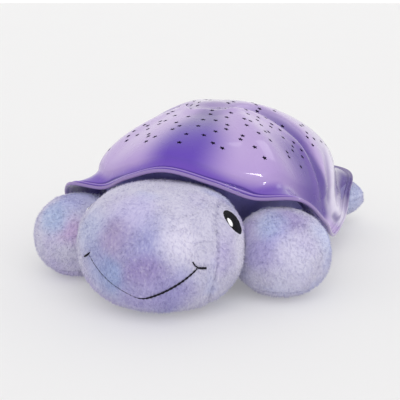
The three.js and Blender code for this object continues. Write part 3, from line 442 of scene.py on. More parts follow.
class PlushSettings(bpy.types.PropertyGroup):
    fill: bpy.props.FloatProperty(
        name="Fill", description="How tight the stuffing is", default=0.85, min=0, max=1, subtype="FACTOR",
    )
    nap: length_property("Nap", "How rough the cloth under the pile is", 0.25 * MM)
    pile_length: length_property("Pile", "Length of the short pile", 1.9 * MM)
    pile_count: bpy.props.IntProperty(
        name="Pile count", description="Blades of pile on a square centimetre", default=75, min=0,
    )
    ground_colour: colour_property("Ground", "Pale lavender grey of the pile", 196, 193, 214)
    blue_colour: colour_property("Blue", "Blue clouds of the dye", 160, 172, 220)
    violet_colour: colour_property("Violet", "Violet clouds of the dye", 172, 156, 212)


class StageSettings(bpy.types.PropertyGroup):
    floor_colour: colour_property("Floor", "Pale seamless floor", 210, 210, 210)
    floor_glow: strength_property("Floor glow", "Light through the floor that lifts the shadows", 0.25)
    sun_strength: strength_property("Sun", "Strength of the broad soft light from the right", 0.86)
    room_strength: strength_property("Room", "Strength of the even light all round", 1.12)


# Shader maths


def operator_pair(operation):
    """An operator on a Wire, and its form for a plain number on the left."""
    return (
        lambda self, other: self.join(operation, self, other),
        lambda self, other: self.join(operation, other, self),
    )


class Wire:
    """A shader socket that Python's own operators work on. The upright bar takes the larger value."""

    def __init__(self, shader, socket):
        self.shader = shader
        self.socket = socket

    def join(self, operation, first, second):
        return self.shader.node("ShaderNodeMath", {"operation": operation}, {0: first, 1: second})

    __add__, __radd__ = operator_pair("ADD")
    __sub__, __rsub__ = operator_pair("SUBTRACT")
    __mul__, __rmul__ = operator_pair("MULTIPLY")
    __truediv__, __rtruediv__ = operator_pair("DIVIDE")
    __or__, __ror__ = operator_pair("MAXIMUM")

    def __abs__(self):
        return self.shader.node("ShaderNodeMath", {"operation": "ABSOLUTE"}, {0: self})


class Nodes:
    """A node tree whose nodes are added one by one."""

    def __init__(self, tree):
        self.tree = tree

    def node(self, kind, settings=None, sockets=None, out=0):
        made = self.tree.nodes.new(kind)
        for name, value in (settings or {}).items():
            if name == "stops":
                self.fill_ramp(made.color_ramp, value)
            else:
                setattr(made, name, value)
        self.fill(made, sockets or {})
        return Wire(self, made.outputs[out])

    def fill(self, made, sockets):
        for key, value in sockets.items():
            if isinstance(value, Wire):
                self.tree.links.new(value.socket, made.inputs[key])
            else:
                made.inputs[key].default_value = value

    def fill_ramp(self, ramp, stops):
        for position, _ in stops[2:]:
            ramp.elements.new(position)
        for element, (position, colour) in zip(ramp.elements, stops):
            element.position = position
            element.color = colour

    def axes(self, vector):
        split = self.node("ShaderNodeSeparateXYZ", sockets={0: vector}).socket.node
        return [Wire(self, split.outputs[i]) for i in range(3)]

    def blend(self, operation, first, second=(0, 0, 0), third=(0, 0, 0), scale=1.0):
        """Vector maths, for places and directions."""
        sockets = {0: first, 1: second, 2: third, 3: scale}
        return self.node("ShaderNodeVectorMath", {"operation": operation}, sockets)

    def smooth(self, value, low, high):
        """0 below low, 1 above high, and an even turn between them."""
        settings = {"interpolation_type": "SMOOTHSTEP"}
        return self.node("ShaderNodeMapRange", settings, {"Value": value, "From Min": low, "From Max": high})

    def fade(self, value, low, high):
        """1 below low, 0 above high, and an even turn between them."""
        return 1 - self.smooth(value, low, high)

    def band(self, value, rise, fall):
        """1 between two turns: the value rises over the first pair and falls over the second."""
        return self.smooth(value, *rise) * self.fade(value, *fall)

    def mix(self, share, first, second):
        """The first colour turning into the second. Sockets 0, 6, 7 and output 2 are the colour ones."""
        return self.node("ShaderNodeMix", {"data_type": "RGBA"}, {0: share, 6: first, 7: second}, out=2)


class Finish(Nodes):
    """A material that ends in one Principled shader."""

    def __init__(self, name):
        self.material = bpy.data.materials.new(name)
        self.material.use_nodes = True
        super().__init__(self.material.node_tree)
        self.tree.nodes.clear()
        self.shader = self.tree.nodes.new("ShaderNodeBsdfPrincipled")
        output = self.tree.nodes.new("ShaderNodeOutputMaterial")
        self.tree.links.new(self.shader.outputs["BSDF"], output.inputs["Surface"])
        self.place = self.node("ShaderNodeTexCoord", out="Object")

    def surface(self, **sockets):
        """Sets the Principled shader, with a blank in a socket's name written as an underscore."""
        self.fill(self.shader, {name.replace("_", " "): value for name, value in sockets.items()})
        return self.material

    def grain(self, size, detail=2.0, roughness=0.5, vector=None, stretch=None):
        """A soft noise from 0 to 1 whose blobs are about size across."""
        place = vector or self.place
        if stretch:
            place = self.node("ShaderNodeMapping", sockets={"Vector": place, "Scale": stretch})
        sockets = {"Vector": place, "Scale": 1 / size, "Detail": detail, "Roughness": roughness}
        return self.node("ShaderNodeTexNoise", {"noise_dimensions": "3D"}, sockets)

    def bump(self, height, depth, strength=1.0):
        sockets = {"Height": height, "Distance": depth, "Strength": strength}
        return self.node("ShaderNodeBump", sockets=sockets)

    def tone(self, colour, name, mask):
        """Lays a named tone over the colour where the mask is 1."""
        screen, strength = TONES[name]
        return self.mix(mask * strength, colour, srgb(*screen))

    def near(self, place, centre, radius):
        """1 close to a point, fading evenly to 0 at radius from it."""
        away = self.node(
            "ShaderNodeVectorMath", {"operation": "DISTANCE"}, {0: place, 1: tuple(centre)}, out="Value",
        )
        return self.fade(away, 0.2 * radius, radius)


# Numbers on whole arrays of points


def smoothstep(value, low, high):
    share = np.clip((value - low) / (high - low), 0, 1)
    return share * share * (3 - 2 * share)


def fade(value, low, high):
    return 1 - smoothstep(value, low, high)


def unit(vectors):
    return vectors / np.maximum(np.linalg.norm(vectors, axis=-1, keepdims=True), TINY)


def bell(value, width):
    return np.exp(-((value / width) ** 2))


def station(shares, bearing):
    """A smooth curve through evenly spaced shares, the same on both sides of the turtle."""
    shares = np.asarray(shares, float)
    last = len(shares) - 1
    place = np.abs(bearing) / (180 / last)
    first = np.floor(place).astype(int)
    f = place - first

    def at(i):
        i = np.abs(i)
        return shares[np.where(i > last, 2 * last - i, i)]

    a, b, c, d = at(first - 1), at(first), at(first + 1), at(first + 2)
    curve = (2 * a - 5 * b + 4 * c - d) * f**2 + (3 * b - 3 * c + d - a) * f**3
    return (2 * b + (c - a) * f + curve) / 2


def around(bearing, reach, z, shift_y=0.0):
    turn = np.radians(bearing)
    reach, z, shift_y = np.broadcast_arrays(reach, z, shift_y)
    return np.stack([reach * np.sin(turn), SHELL_AXIS_Y + shift_y - reach * np.cos(turn), z], axis=-1)


def waist_line_y(x):
    return SHELL_AXIS_Y - WAIST_GROOVE_FRONT + WAIST_GROOVE_BEND * smoothstep(np.abs(x), 0, SHELL_REACH / 3)


def crest_line_y(x):
    side = np.abs(x - CREST_MIDDLE_X)
    bay = CREST_SWEEP * smoothstep(side, *CREST_BAY)
    return SHELL_AXIS_Y - CREST_AHEAD + bay - CREST_HOOK * smoothstep(side, *CREST_TURN)


def groove_depth(point):
    """A groove crosses the shell behind its front scales, and a shallow one runs down its front."""
    waist_y = waist_line_y(point[..., 0])
    waist = bell(point[..., 1] - waist_y, WAIST_GROOVE_WIDTH)
    ahead = smoothstep(waist_y - point[..., 1], 0, SHELL_REACH / 4)
    front = ahead * bell(point[..., 0], FRONT_GROOVE_WIDTH)
    return WAIST_GROOVE_DEPTH * waist + FRONT_GROOVE_DEPTH * front


def on_shell(bearing, course):
    """Points on the plain shell. Course is 0 at the crown, 1 at the dome's foot and 2 at the lip."""
    bearing, course = np.broadcast_arrays(np.asarray(bearing, float), np.asarray(course, float))
    base_reach = SHELL_REACH * station(BASE_REACH_SHARES, bearing)
    base_z = SHELL_HEIGHT * station(BASE_HEIGHT_SHARES, bearing)
    lip_reach = SHELL_REACH * station(RIM_REACH_SHARES, bearing)
    lip_z = SHELL_HEIGHT * station(RIM_HEIGHT_SHARES, bearing)
    bend_reach = base_reach + BRIM_OUT_SHARE * (lip_reach - base_reach)
    bend_z = base_z - BRIM_DROP_SHARE * (base_z - lip_z)
    t = course - 1
    brim = around(
        bearing,
        (1 - t) ** 2 * base_reach + 2 * t * (1 - t) * bend_reach + t**2 * lip_reach,
        (1 - t) ** 2 * base_z + 2 * t * (1 - t) * bend_z + t**2 * lip_z,
    )
    c = np.clip(course, 0, 1)
    fall = (1 - c**CROWN_ROUNDNESS) ** CROWN_SHOULDER
    dome_z = base_z + (SHELL_HEIGHT - base_z) * fall
    dome = around(bearing, base_reach * c, dome_z, CROWN_OFFSET * (1 - c * c))
    outward = unit(dome - np.array([0, SHELL_AXIS_Y, HEART_Z]))
    dome = dome - outward * (groove_depth(dome) * (1 - c**8))[..., None]
    return np.where((course > 1)[..., None], brim, dome)


def shell_slopes(bearing, course):
    """The outward normal, and the unit step down the shell, at each point."""
    nudge = COURSE_NUDGE
    past = np.minimum(course + nudge, 2)
    down = on_shell(bearing, past) - on_shell(bearing, course - nudge)
    across = on_shell(bearing + 1, course) - on_shell(bearing - 1, course)
    normal = unit(np.cross(down, across))
    normal[course < nudge] = (0, 0, 1)
    return normal, unit(down)


# Mesh helpers


def link(name, data):
    """A new object in the scene that holds the data."""
    made = bpy.data.objects.new(name, data)
    bpy.context.scene.collection.objects.link(made)
    return made


def new_object(name, bm):
    mesh = bpy.data.meshes.new(name)
    bm.to_mesh(mesh)
    bm.free()
    return link(name, mesh)


def keep(name, bm, body="turtle", sharp_angle=35):
    """Turns a bmesh into a finished piece that rides on a body, smooth up to the sharp angle."""
    piece = new_object(name, bm)
    shade(piece.data, sharp_angle)
    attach(piece, body)
    return piece


def shade(mesh, sharp_angle):
    mesh.polygons.foreach_set("use_smooth", [True] * len(mesh.polygons))
    mesh.set_sharp_from_angle(angle=math.radians(sharp_angle))


def points_of(mesh, kind="co"):
    """The places of a mesh's points, or their normals where kind is normal."""
    flat = np.empty(len(mesh.vertices) * 3)
    mesh.vertices.foreach_get(kind, flat)
    return flat.reshape(-1, 3)


def set_points(mesh, points):
    mesh.vertices.foreach_set("co", np.asarray(points, float).ravel())
    mesh.update()


def move_verts(verts, points):
    for vert, point in zip(verts, points):
        vert.co = point


def bake_modifiers(piece):
    """Makes the modified mesh the piece's own, and drops the modifiers."""
    graph = bpy.context.evaluated_depsgraph_get()
    mesh = bpy.data.meshes.new_from_object(piece.evaluated_get(graph))
    old = piece.data
    piece.modifiers.clear()
    piece.data = mesh
    bpy.data.meshes.remove(old)
    return mesh


def wrap_grid(columns, rows, place):
    """Wraps a flat grid into a closed skin. place gives points and UV maps for shares across and along."""
    bm = bmesh.new()
    bmesh.ops.create_grid(bm, x_segments=columns, y_segments=rows, size=0.5)
    flat = np.array([vert.co[:2] for vert in bm.verts]) + 0.5
    points, maps = place(flat[:, 0], flat[:, 1])
    for name, labels in maps.items():
        layer = bm.loops.layers.uv.new(name)
        for vert, label in zip(bm.verts, labels):
            for loop in vert.link_loops:
                loop[layer].uv = label
    move_verts(bm.verts, points)
    bmesh.ops.remove_doubles(bm, verts=bm.verts, dist=WELD)
    bmesh.ops.recalc_face_normals(bm, faces=bm.faces)
    return bm


# Shell


def star_places(spread, half_step):
    """Stars on a sunflower's spiral from the crown down, each a little off its place."""
    i = np.arange(STAR_COUNT) + half_step

    def scatter(seed):
        value = np.sin((i + 1) * seed) * SCATTER_STRETCH
        return value - np.floor(value) - 0.5

    ring = np.sqrt(np.maximum(i + 0.5 + scatter(RING_SEED) * STAR_RING_JITTER, 0) / STAR_COUNT)
    turn = i * GOLDEN_ANGLE + scatter(TURN_SEED) * STAR_JITTER_ANGLE / np.maximum(ring, 0.2)
    return turn % 360 - 180, spread * np.clip(ring, STAR_CROWN_SHARE, 1)


def star_set():
    """The frame's own stars, and the smaller ones between them that keep clear of each other."""
    bearings, courses = star_places(STAR_SPREAD_SHARE, 0)
    centres = list(on_shell(bearings, courses))
    kept = list(zip(bearings, courses))
    between_bearings, between_courses = star_places(STAR_BETWEEN_SHARE, 0.5)
    for bearing, course, centre in zip(
        between_bearings, between_courses, on_shell(between_bearings, between_courses),
    ):
        if min(np.linalg.norm(centre - other) for other in centres) > STAR_ROOM:
            centres.append(centre)
            kept.append((bearing, course))
    bearings, courses = np.array(kept).T
    return bearings, courses, centres


def panel_matrix():
    """The button panel's own frame: its origin on the shell's rear, its local Z pointing out."""
    bearing, course = np.array([180.0]), np.array([PANEL_COURSE_SHARE])
    normal, _ = shell_slopes(bearing, course)
    turn = Vector((0, 0, 1)).rotation_difference(Vector(normal[0]))
    return Matrix.Translation(Vector(on_shell(bearing, course)[0])) @ turn.to_matrix().to_4x4()


def rounded_prism(bm, matrix, half_x, half_y, corner, bottom, top, segments=8):
    """Adds a slab with round corners to bm."""
    low = matrix @ Matrix.Translation((0, 0, bottom)) @ Matrix.Diagonal((half_x, half_y, 1, 1))
    corners = bmesh.ops.create_grid(bm, x_segments=1, y_segments=1, size=1.0, matrix=low)["verts"]
    rounded = bmesh.ops.bevel(
        bm, geom=corners, offset=corner, segments=segments, profile=0.5, affect="VERTICES", material=-1,
    )["verts"]
    raise_face(bm, rounded[0].link_faces[0], matrix, top - bottom)
    bmesh.ops.recalc_face_normals(bm, faces=bm.faces)


def raise_face(bm, face, matrix, rise):
    """Pulls a face out along the local Z of matrix, which leaves a closed prism."""
    lifted = bmesh.ops.extrude_face_region(bm, geom=[face])["geom"]
    raised = [item for item in lifted if isinstance(item, bmesh.types.BMVert)]
    bmesh.ops.translate(bm, verts=raised, vec=(matrix.to_3x3() @ Vector((0, 0, 1))) * rise)


def star_prism(bm, matrix, radius, half_depth):
    """Adds a five-pointed star, cut square to the shell, to bm."""
    lower = matrix @ Matrix.Translation((0, 0, -half_depth))
    verts = bmesh.ops.create_circle(bm, cap_ends=True, segments=10, radius=radius, matrix=lower)["verts"]
    centre = lower.translation
    bmesh.ops.scale(
        bm, verts=verts[1::2], vec=(STAR_NOTCH_SHARE,) * 3, space=Matrix.Translation(-centre),
    )
    face = next(iter(set.intersection(*(set(vert.link_faces) for vert in verts))))
    raise_face(bm, face, matrix, 2 * half_depth)


def shell_cutters(star_radius):
    """Every star hole and the panel's window in one mesh."""
    bm = bmesh.new()
    panel = panel_matrix()
    to_panel = panel.inverted()
    bearings, courses, centres = star_set()
    normals, _ = shell_slopes(bearings, courses)
    for bearing, normal, centre in zip(bearings, normals, centres):
        in_panel = to_panel @ Vector(centre)
        beside = abs(in_panel.x) < PANEL_HALF_WIDTH + STAR_PANEL_ROOM
        if beside and abs(in_panel.y) < PANEL_HALF_HEIGHT + STAR_PANEL_ROOM:
            continue
        turn = Vector((0, 0, 1)).rotation_difference(Vector(normal)).to_matrix().to_4x4()
        spin = Matrix.Rotation(math.radians(STAR_TURNS * bearing), 4, "Z")
        star_prism(bm, Matrix.Translation(Vector(centre)) @ turn @ spin, star_radius, 2 * SHELL_WALL)
    rounded_prism(
        bm, panel, PANEL_HALF_WIDTH + FIT_GAP, PANEL_HALF_HEIGHT + FIT_GAP, PANEL_CORNER + FIT_GAP,
        -2 * PANEL_DEPTH, 2 * PANEL_DEPTH,
    )
    bmesh.ops.recalc_face_normals(bm, faces=bm.faces)
    for face in bm.faces:
        face.material_index = 1
    return new_object("shell_cutters", bm)


def shell_relief(bearing, course, edge, settings):
    """How far the outside stands off the plain shell along the lip, the scales' rear edge and the flanks."""
    point = on_shell(bearing, course)
    bead = sum(height * bell(edge - place, width) for place, width, height in LIP_RELIEF)
    behind = point[..., 1] - crest_line_y(point[..., 0])
    fades = smoothstep(course, 0.02, 0.16) * fade(course, 0.95, 1.04)
    drop = smoothstep(behind, CREST_EDGE, CREST_DROP_TO)
    rise = smoothstep(behind, CREST_RISE_FROM, CREST_EDGE) * (1 - drop)
    trough = drop * fade(behind, *CREST_TROUGH)
    rear = smoothstep(behind, *REAR_GROOVE_START) * fade(course, 0.9, 1.1)
    rear_groove = bell(point[..., 0], FRONT_GROOVE_WIDTH) * rear
    side = np.abs(bearing)
    from_spine = side - np.interp(course, SPINE_COURSES, SPINE_BEARINGS)
    spine = bell(from_spine, SPINE_WIDTH) * smoothstep(course, 0.86, 1.0)
    crease = bell(from_spine + CREASE_AHEAD, 3.4) * bell(course - CREASE_COURSE, 0.16)
    slit = bell(side - SLIT_BEARING, 2.2) * bell(course - SLIT_COURSE, 0.13)
    along_hollow = smoothstep(course, 1.15, 1.5) * fade(course, 1.8, 1.95)
    hollow = bell(from_spine - HOLLOW_BEHIND, HOLLOW_WIDTH) * along_hollow
    return (
        settings.bead_height * bead + settings.crest_height * ((rise - trough) * fades - rear_groove)
        + SPINE_HEIGHT * spine - CREASE_DEPTH * crease - SLIT_DEPTH * slit - HOLLOW_DEPTH * hollow
    )


def shell_rows():
    """Each row of the double skin: what its value measures, the value, how far in it lies and past the lip.

    The value is a course on the dome, a share of the way down the brim, or the distance from the edge.
    """
    radius = LIP_THICKNESS / 2
    thickening = SHELL_WALL - LIP_THICKNESS
    rows = [("dome", (i / DOME_ROWS) ** DOME_ROW_SPREAD, 0, 0) for i in range(DOME_ROWS + 1)]
    rows += [("brim", i / BRIM_ROWS, 0, 0) for i in range(1, BRIM_ROWS)]
    rows += [("edge", LIP_ZONE + (radius - LIP_ZONE) * i / LIP_ROWS, 0, 0) for i in range(LIP_ROWS + 1)]
    for i in range(1, TURN_ROWS):
        angle = math.pi * i / TURN_ROWS
        rows.append(("edge", radius, radius * (1 - math.cos(angle)), radius * math.sin(angle)))
    rows.append(("edge", radius, LIP_THICKNESS, 0))
    for i in range(INNER_BRIM_ROWS):
        share = i / INNER_BRIM_ROWS
        rows.append(("brim", 1 - share, LIP_THICKNESS + thickening * share, 0))
    rows += [("dome", 1 - i / INNER_DOME_ROWS, SHELL_WALL, 0) for i in range(INNER_DOME_ROWS + 1)]
    return rows


def shell_place(settings):
    rows = shell_rows()
    kinds = np.array([row[0] for row in rows])
    values, insets, pushes = (np.array([row[i] for row in rows], float) for i in (1, 2, 3))
    lip_row = int(np.argmax(insets > 0))
    inside_row = int(np.argmax(insets >= LIP_THICKNESS))

    def place(across, along):
        bearing = 360 * across - 180
        row = np.rint(along * (len(rows) - 1)).astype(int)
        kind, value, inset, push = kinds[row], values[row], insets[row], pushes[row]
        lip, near_lip = (on_shell(bearing, np.full_like(bearing, 2 - n)) for n in (0, COURSE_NUDGE))
        speed = np.linalg.norm(lip - near_lip, axis=-1) / COURSE_NUDGE
        brim_end = 2 - LIP_ZONE / speed
        course = np.select(
            [kind == "dome", kind == "brim"], [value, 1 + value * (brim_end - 1)], 2 - value / speed,
        )
        edge = np.where(kind == "edge", value, (2 - course) * speed)
        edge = np.where(course < 1, 1.0, edge)
        normal, down = shell_slopes(bearing, course)
        outside = row <= lip_row
        relief = np.where(outside, shell_relief(bearing, course, edge, settings), 0)
        points = on_shell(bearing, course) + normal * (relief - inset)[:, None] + down * push[:, None]
        spread = np.stack([np.abs(bearing) / 180, course / 2], axis=-1)
        inside = (row > inside_row).astype(float)
        from_lip = np.stack([np.minimum(edge / LABEL_SPAN, 1), inside], axis=-1)
        return points, {"UVMap": spread, "FromLip": from_lip}

    return place, len(rows) - 1


class ShellPaint(Finish):
    """Glossy paint: pearly lilac scales, violet in the grooves and down to the rim, a pale lip, and painted
    highlight and shade at the crest, on the flank and along the lip.
    """

    def __init__(self, settings):
        super().__init__("shell_gloss")
        self.settings = settings
        self.side, self.along, _ = self.axes(self.node("ShaderNodeUVMap", {"uv_map": "UVMap"}))
        lip_share, self.inside, _ = self.axes(self.node("ShaderNodeUVMap", {"uv_map": "FromLip"}))
        self.bearing = self.side * 180
        self.course = self.along * 2
        self.from_lip = lip_share * LABEL_SPAN
        self.x, self.y, _ = self.axes(self.place)
        self.cloud = self.grain(70 * MM, detail=1.0) - 0.5
        self.ahead = self.fade(self.bearing, 74, 90)
        self.dome = self.fade(self.course, 0.97, 1.06)

    def finish(self):
        colour, turned_violet_and_shade = self.paint_scales()
        colour, band = self.paint_crest(colour)
        colour = self.paint_flank(colour)
        colour = self.paint_lip(colour)
        return self.surface(
            Base_Color=colour,
            Roughness=0.24 + self.grain(14 * MM) * 0.06,
            Normal=self.bump(self.grain(26 * MM, detail=1.0), 0.05 * MM),
            Coat_Weight=0.6 - 0.5 * (turned_violet_and_shade | band),
            Coat_Roughness=0.04,
            Coat_IOR=1.4,
            Specular_IOR_Level=0.12,
        )

    def paint_scales(self):
        """Pearl, with violet in the front valley and down to the rim, and violet paint with painted shade
        where the scales turn away.
        """
        settings, course = self.settings, self.course
        low = self.smooth(course, 0.42, 0.86)
        groove = self.mix(low, settings.shade_colour, settings.groove_colour)
        pearl = self.tone(settings.scale_colour, "crown", self.fade(course, 0.06, 0.3))
        half_width = self.smooth(course, 0.3, 0.95) * VALLEY_SPREAD + VALLEY_TOP_WIDTH
        valley = abs(self.x - VALLEY_MIDDLE_X + self.cloud * VALLEY_WANDER) / half_width
        front = self.fade(valley, 0.3, 1.7) * self.smooth(course, 0.1, 0.5)
        front = front * self.fade(self.bearing, 60, 100)
        colour = self.mix(front * 0.9, pearl, groove)
        rim = self.smooth(course + self.cloud * 0.12, 0.88, 1.5) * self.ahead
        colour = self.mix(rim * 0.9, colour, settings.rim_colour)
        # Where the scales turn away at the waist: partly the groove's violet paint, partly painted shade;
        # the gloss coat thins there too
        turned_violet_and_shade = self.band(self.bearing, (34, 78), (96, 104)) * self.band(course, (0.5, 0.85), (1.3, 1.6))
        return self.tone(colour, "turned_away_violet_and_shade", turned_violet_and_shade), turned_violet_and_shade

    def paint_crest(self, colour):
        """A painted highlight along the rear edge of the front scales, painted shade in the violet trough
        behind it, and paler scales further back, partly a painted rim highlight.
        """
        course, settings = self.course, self.settings
        off_middle = abs(self.x - CREST_MIDDLE_X)
        bay = self.smooth(off_middle, *CREST_BAY) * CREST_SWEEP
        crest_y = bay - self.smooth(off_middle, *CREST_TURN) * CREST_HOOK + (SHELL_AXIS_Y - CREST_AHEAD)
        behind = self.y - crest_y
        # Paler scales far behind the crest: partly their lavender grey, partly a painted rim highlight
        pale = self.smooth(behind + self.cloud * (12 * MM), 22 * MM, 52 * MM) * self.dome
        colour = self.mix(pale * 0.8, colour, settings.flank_colour)
        lower = self.smooth(course, 0.3, 0.6)
        before = self.band(behind, (-26 * MM, -2 * MM), (-2 * MM, 0)) * self.dome
        colour = self.tone(colour, "before_crest", before * lower)
        # Painted shade in the trough behind the crest; the gloss coat thins there too
        band = self.band(behind, (CREST_EDGE, 1.2 * MM), (5 * MM, 32 * MM)) * self.dome
        shadow = self.mix(self.smooth(course, 0.3, 0.85), settings.shade_colour, srgb(72, 36, 140))
        colour = self.mix(band * (lower * 0.45 + 0.5), colour, shadow)
        # Painted highlight along the crest's edge
        crest_highlight_mask = self.band(behind, (-3.4 * MM, CREST_EDGE), (CREST_EDGE, 0.6 * MM))
        return self.tone(colour, "crest_highlight", crest_highlight_mask * self.fade(course, 0.8, 0.92)), band

    def paint_flank(self, colour):
        """Lavender grey behind the scales, with a painted highlight on the spine, painted shade in the
        crease, the slit and on the brim behind the spine, and a violet facet.
        """
        course = self.course
        flank = self.smooth(self.bearing, 90, 100) * self.smooth(course, 0.97, 1.08)
        colour = self.mix(flank, colour, self.settings.flank_colour)
        stops = [(0.0, (0, 0, 0, 1))]
        for spine_course, spine_bearing in zip(SPINE_COURSES, SPINE_BEARINGS):
            stops.append((spine_course / 2, (spine_bearing / 180,) * 3 + (1,)))
        spine_side = self.node("ShaderNodeValToRGB", {"stops": stops}, {"Fac": self.along})
        from_spine = (self.side - spine_side) * 180
        # Painted highlight along the spine, over its low rise
        spine = self.fade(abs(from_spine), 2, 8) * self.smooth(course, 0.85, 0.98)
        colour = self.tone(colour, "spine", spine)
        # Painted shade in the crease and the slit beside the spine
        crease = self.fade(abs(from_spine + CREASE_AHEAD), 1, 6)
        crease = crease * self.fade(abs(course - CREASE_COURSE), 0.04, 0.24)
        slit = self.fade(abs(self.bearing - SLIT_BEARING), 0.6, 4)
        slit = slit * self.fade(abs(course - SLIT_COURSE), 0.05, 0.2)
        colour = self.tone(colour, "creases", crease | slit)
        # Painted shade on the brim behind the spine, over its hollow
        rear = self.smooth(from_spine, 6, 14) * self.smooth(course, 1.0, 1.12)
        colour = self.tone(colour, "rear", rear)
        facet = self.fade(abs(from_spine - FACET_BEHIND), 4, 10) * self.smooth(course, 1.45, 1.7)
        return self.tone(colour, "facet", facet)

    def paint_lip(self, colour):
        """Painted shade in the lip's two grooves, a painted highlight on the raised line between them, the
        pale bead at its edge, and the inside.
        """
        # Painted shade in the two grooves along the lip
        near_line = self.fade(abs(self.from_lip - LINE_FROM_LIP), 0.5 * MM, 1.2 * MM)
        near_groove = self.fade(abs(self.from_lip - GROOVE_FROM_LIP), 0.5 * MM, 1.7 * MM)
        colour = self.tone(colour, "lip_groove_shade", (near_line | near_groove) * self.ahead)
        # Painted highlight on the raised line between the grooves
        thread = self.fade(abs(self.from_lip - RIDGE_FROM_LIP), 0.4 * MM, 1.2 * MM)
        colour = self.tone(colour, "lip_thread", thread * self.ahead)
        lip = self.fade(self.from_lip, 0.9 * MM, 1.6 * MM) * (self.ahead * 0.6 + 0.4)
        colour = self.mix(lip, colour, self.settings.lip_colour)
        return self.tone(colour, "inside", self.inside)


def hole_finish():
    """Dark plastic on the walls of the star holes."""
    look = Finish("hole_edge")
    colour = look.mix(look.grain(3 * MM) * 0.5, srgb(34, 22, 62), srgb(52, 36, 88))
    return look.surface(Base_Color=colour, Roughness=0.6)


class TURTLE_OT_shell(bpy.types.Operator):
    """Makes the glossy shell with its lip bead, scale grooves, star holes and panel window"""

    bl_idname = "turtle.shell"
    bl_label = "Shell"

    def execute(self, context):
        settings = context.scene.turtle_shell
        place, rows = shell_place(settings)
        shell = keep("star_shell", wrap_grid(SHELL_COLUMNS, rows, place))
        cutter = shell_cutters(settings.star_radius)
        for material in (ShellPaint(settings).finish(), hole_finish()):
            shell.data.materials.append(material)
            cutter.data.materials.append(material)
        cut = shell.modifiers.new("Holes", "BOOLEAN")
        cut.operation = "DIFFERENCE"
        cut.solver = "EXACT"
        cut.object = cutter
        mesh = bake_modifiers(shell)
        bpy.data.objects.remove(cutter)
        shade(mesh, 40)
        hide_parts("shell")
        return {"FINISHED"}


# Plush


def body_reach(bearing):
    return TUB_RADIUS + (SHELL_REACH - TUB_RADIUS) * station(BODY_FILL_SHARES, bearing)


def flipper_form(flipper, side):
    """The stuffed form of one flipper, on the turtle's left for side 1."""
    bearing = np.array([side * flipper["bearing"]], float)
    reach = body_reach(bearing) + flipper["stands_out"]
    form = {key: flipper[key] for key in ("half_width", "ahead", "behind", "half_height", "roundness")}
    form["centre"] = Vector(around(bearing, reach, flipper["middle_z"])[0])
    form["heading"] = side * flipper["heading"]
    return form


def form_reach(directions, form):
    """How far a stuffed form reaches from its middle in each direction."""
    turn = math.radians(form["heading"])
    x = directions[:, 0] * math.cos(turn) + directions[:, 1] * math.sin(turn)
    y = directions[:, 1] * math.cos(turn) - directions[:, 0] * math.sin(turn)
    depth = np.where(y < 0, form["ahead"], form["behind"])
    level = np.hypot(x / form["half_width"], y / depth)
    n = form["roundness"]
    return (level**n + np.abs(directions[:, 2] / form["half_height"]) ** n) ** (-1 / n)


def mesh_tree(mesh):
    """A search tree of a mesh, to find where a ray meets it."""
    points = [vert.co.copy() for vert in mesh.vertices]
    return BVHTree.FromPolygons(points, [tuple(face.vertices) for face in mesh.polygons])


def stuffed_piece(name, node, form, splits, seam, settings):
    """A stuffed piece that fills its form and lies against its neighbours where the frame cuts it."""
    bm = bmesh.new()
    bmesh.ops.create_icosphere(bm, subdivisions=splits, radius=1.0)
    directions = unit(np.array([vert.co for vert in bm.verts]))
    reach = form_reach(directions, form)
    tree = mesh_tree(frame["nodes"][node].data)
    room = np.array([tree.ray_cast(form["centre"], Vector(way))[3] or 0 for way in directions])
    cut = smoothstep(reach - room, *NEIGHBOUR_CUT)
    reach = (reach - COVER_SLACK) * (1 - cut) + (np.minimum(room, reach) - NEIGHBOUR_GAP) * cut
    points = np.array(form["centre"]) + directions * reach[:, None]
    points[:, 2] = np.maximum(points[:, 2], SLACK_FLOOR_GAP)
    move_verts(bm.verts, points)
    piece = keep(name, bm, sharp_angle=180)
    puff(piece, cut > HELD_CUT)
    finer = piece.modifiers.new("Finer", "SUBSURF")
    finer.levels = finer.render_levels = 1
    mesh = bake_modifiers(piece)
    sew(mesh, seam, settings)
    shade(mesh, 180)
    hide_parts(node)
    return piece


def puff(piece, held):
    """Blows the cover up between its held points, as stuffing does, and caps how far each point moves."""
    start = points_of(piece.data)
    sewn = piece.vertex_groups.new(name="sewn")
    sewn.add([int(i) for i in np.flatnonzero(held)], 1.0, "REPLACE")
    cloth = piece.modifiers.new("Stuffing", "CLOTH")
    rules = cloth.settings
    rules.quality = PUFF_QUALITY
    rules.use_pressure = True
    rules.uniform_pressure_force = PUFF_PRESSURE
    rules.vertex_group_mass = "sewn"
    rules.effector_weights.gravity = 0
    rules.tension_stiffness = rules.compression_stiffness = COVER_STIFFNESS
    rules.shear_stiffness = COVER_STIFFNESS
    rules.bending_stiffness = COVER_STIFFNESS / 2
    cloth.point_cache.frame_start = 1
    cloth.point_cache.frame_end = PUFF_STEPS
    scene = bpy.context.scene
    for step in range(1, PUFF_STEPS + 1):
        scene.frame_set(step)
    graph = bpy.context.evaluated_depsgraph_get()
    grown = points_of(piece.evaluated_get(graph).data)
    piece.modifiers.clear()
    piece.vertex_groups.clear()
    scene.frame_set(1)
    move = grown - start
    far = np.linalg.norm(move, axis=1, keepdims=True)
    set_points(piece.data, start + move * np.minimum(1, COVER_SLACK / np.maximum(far, TINY)))


def lumps(points, per_metre):
    return np.array([noise.noise(Vector(point) * per_metre) for point in points])


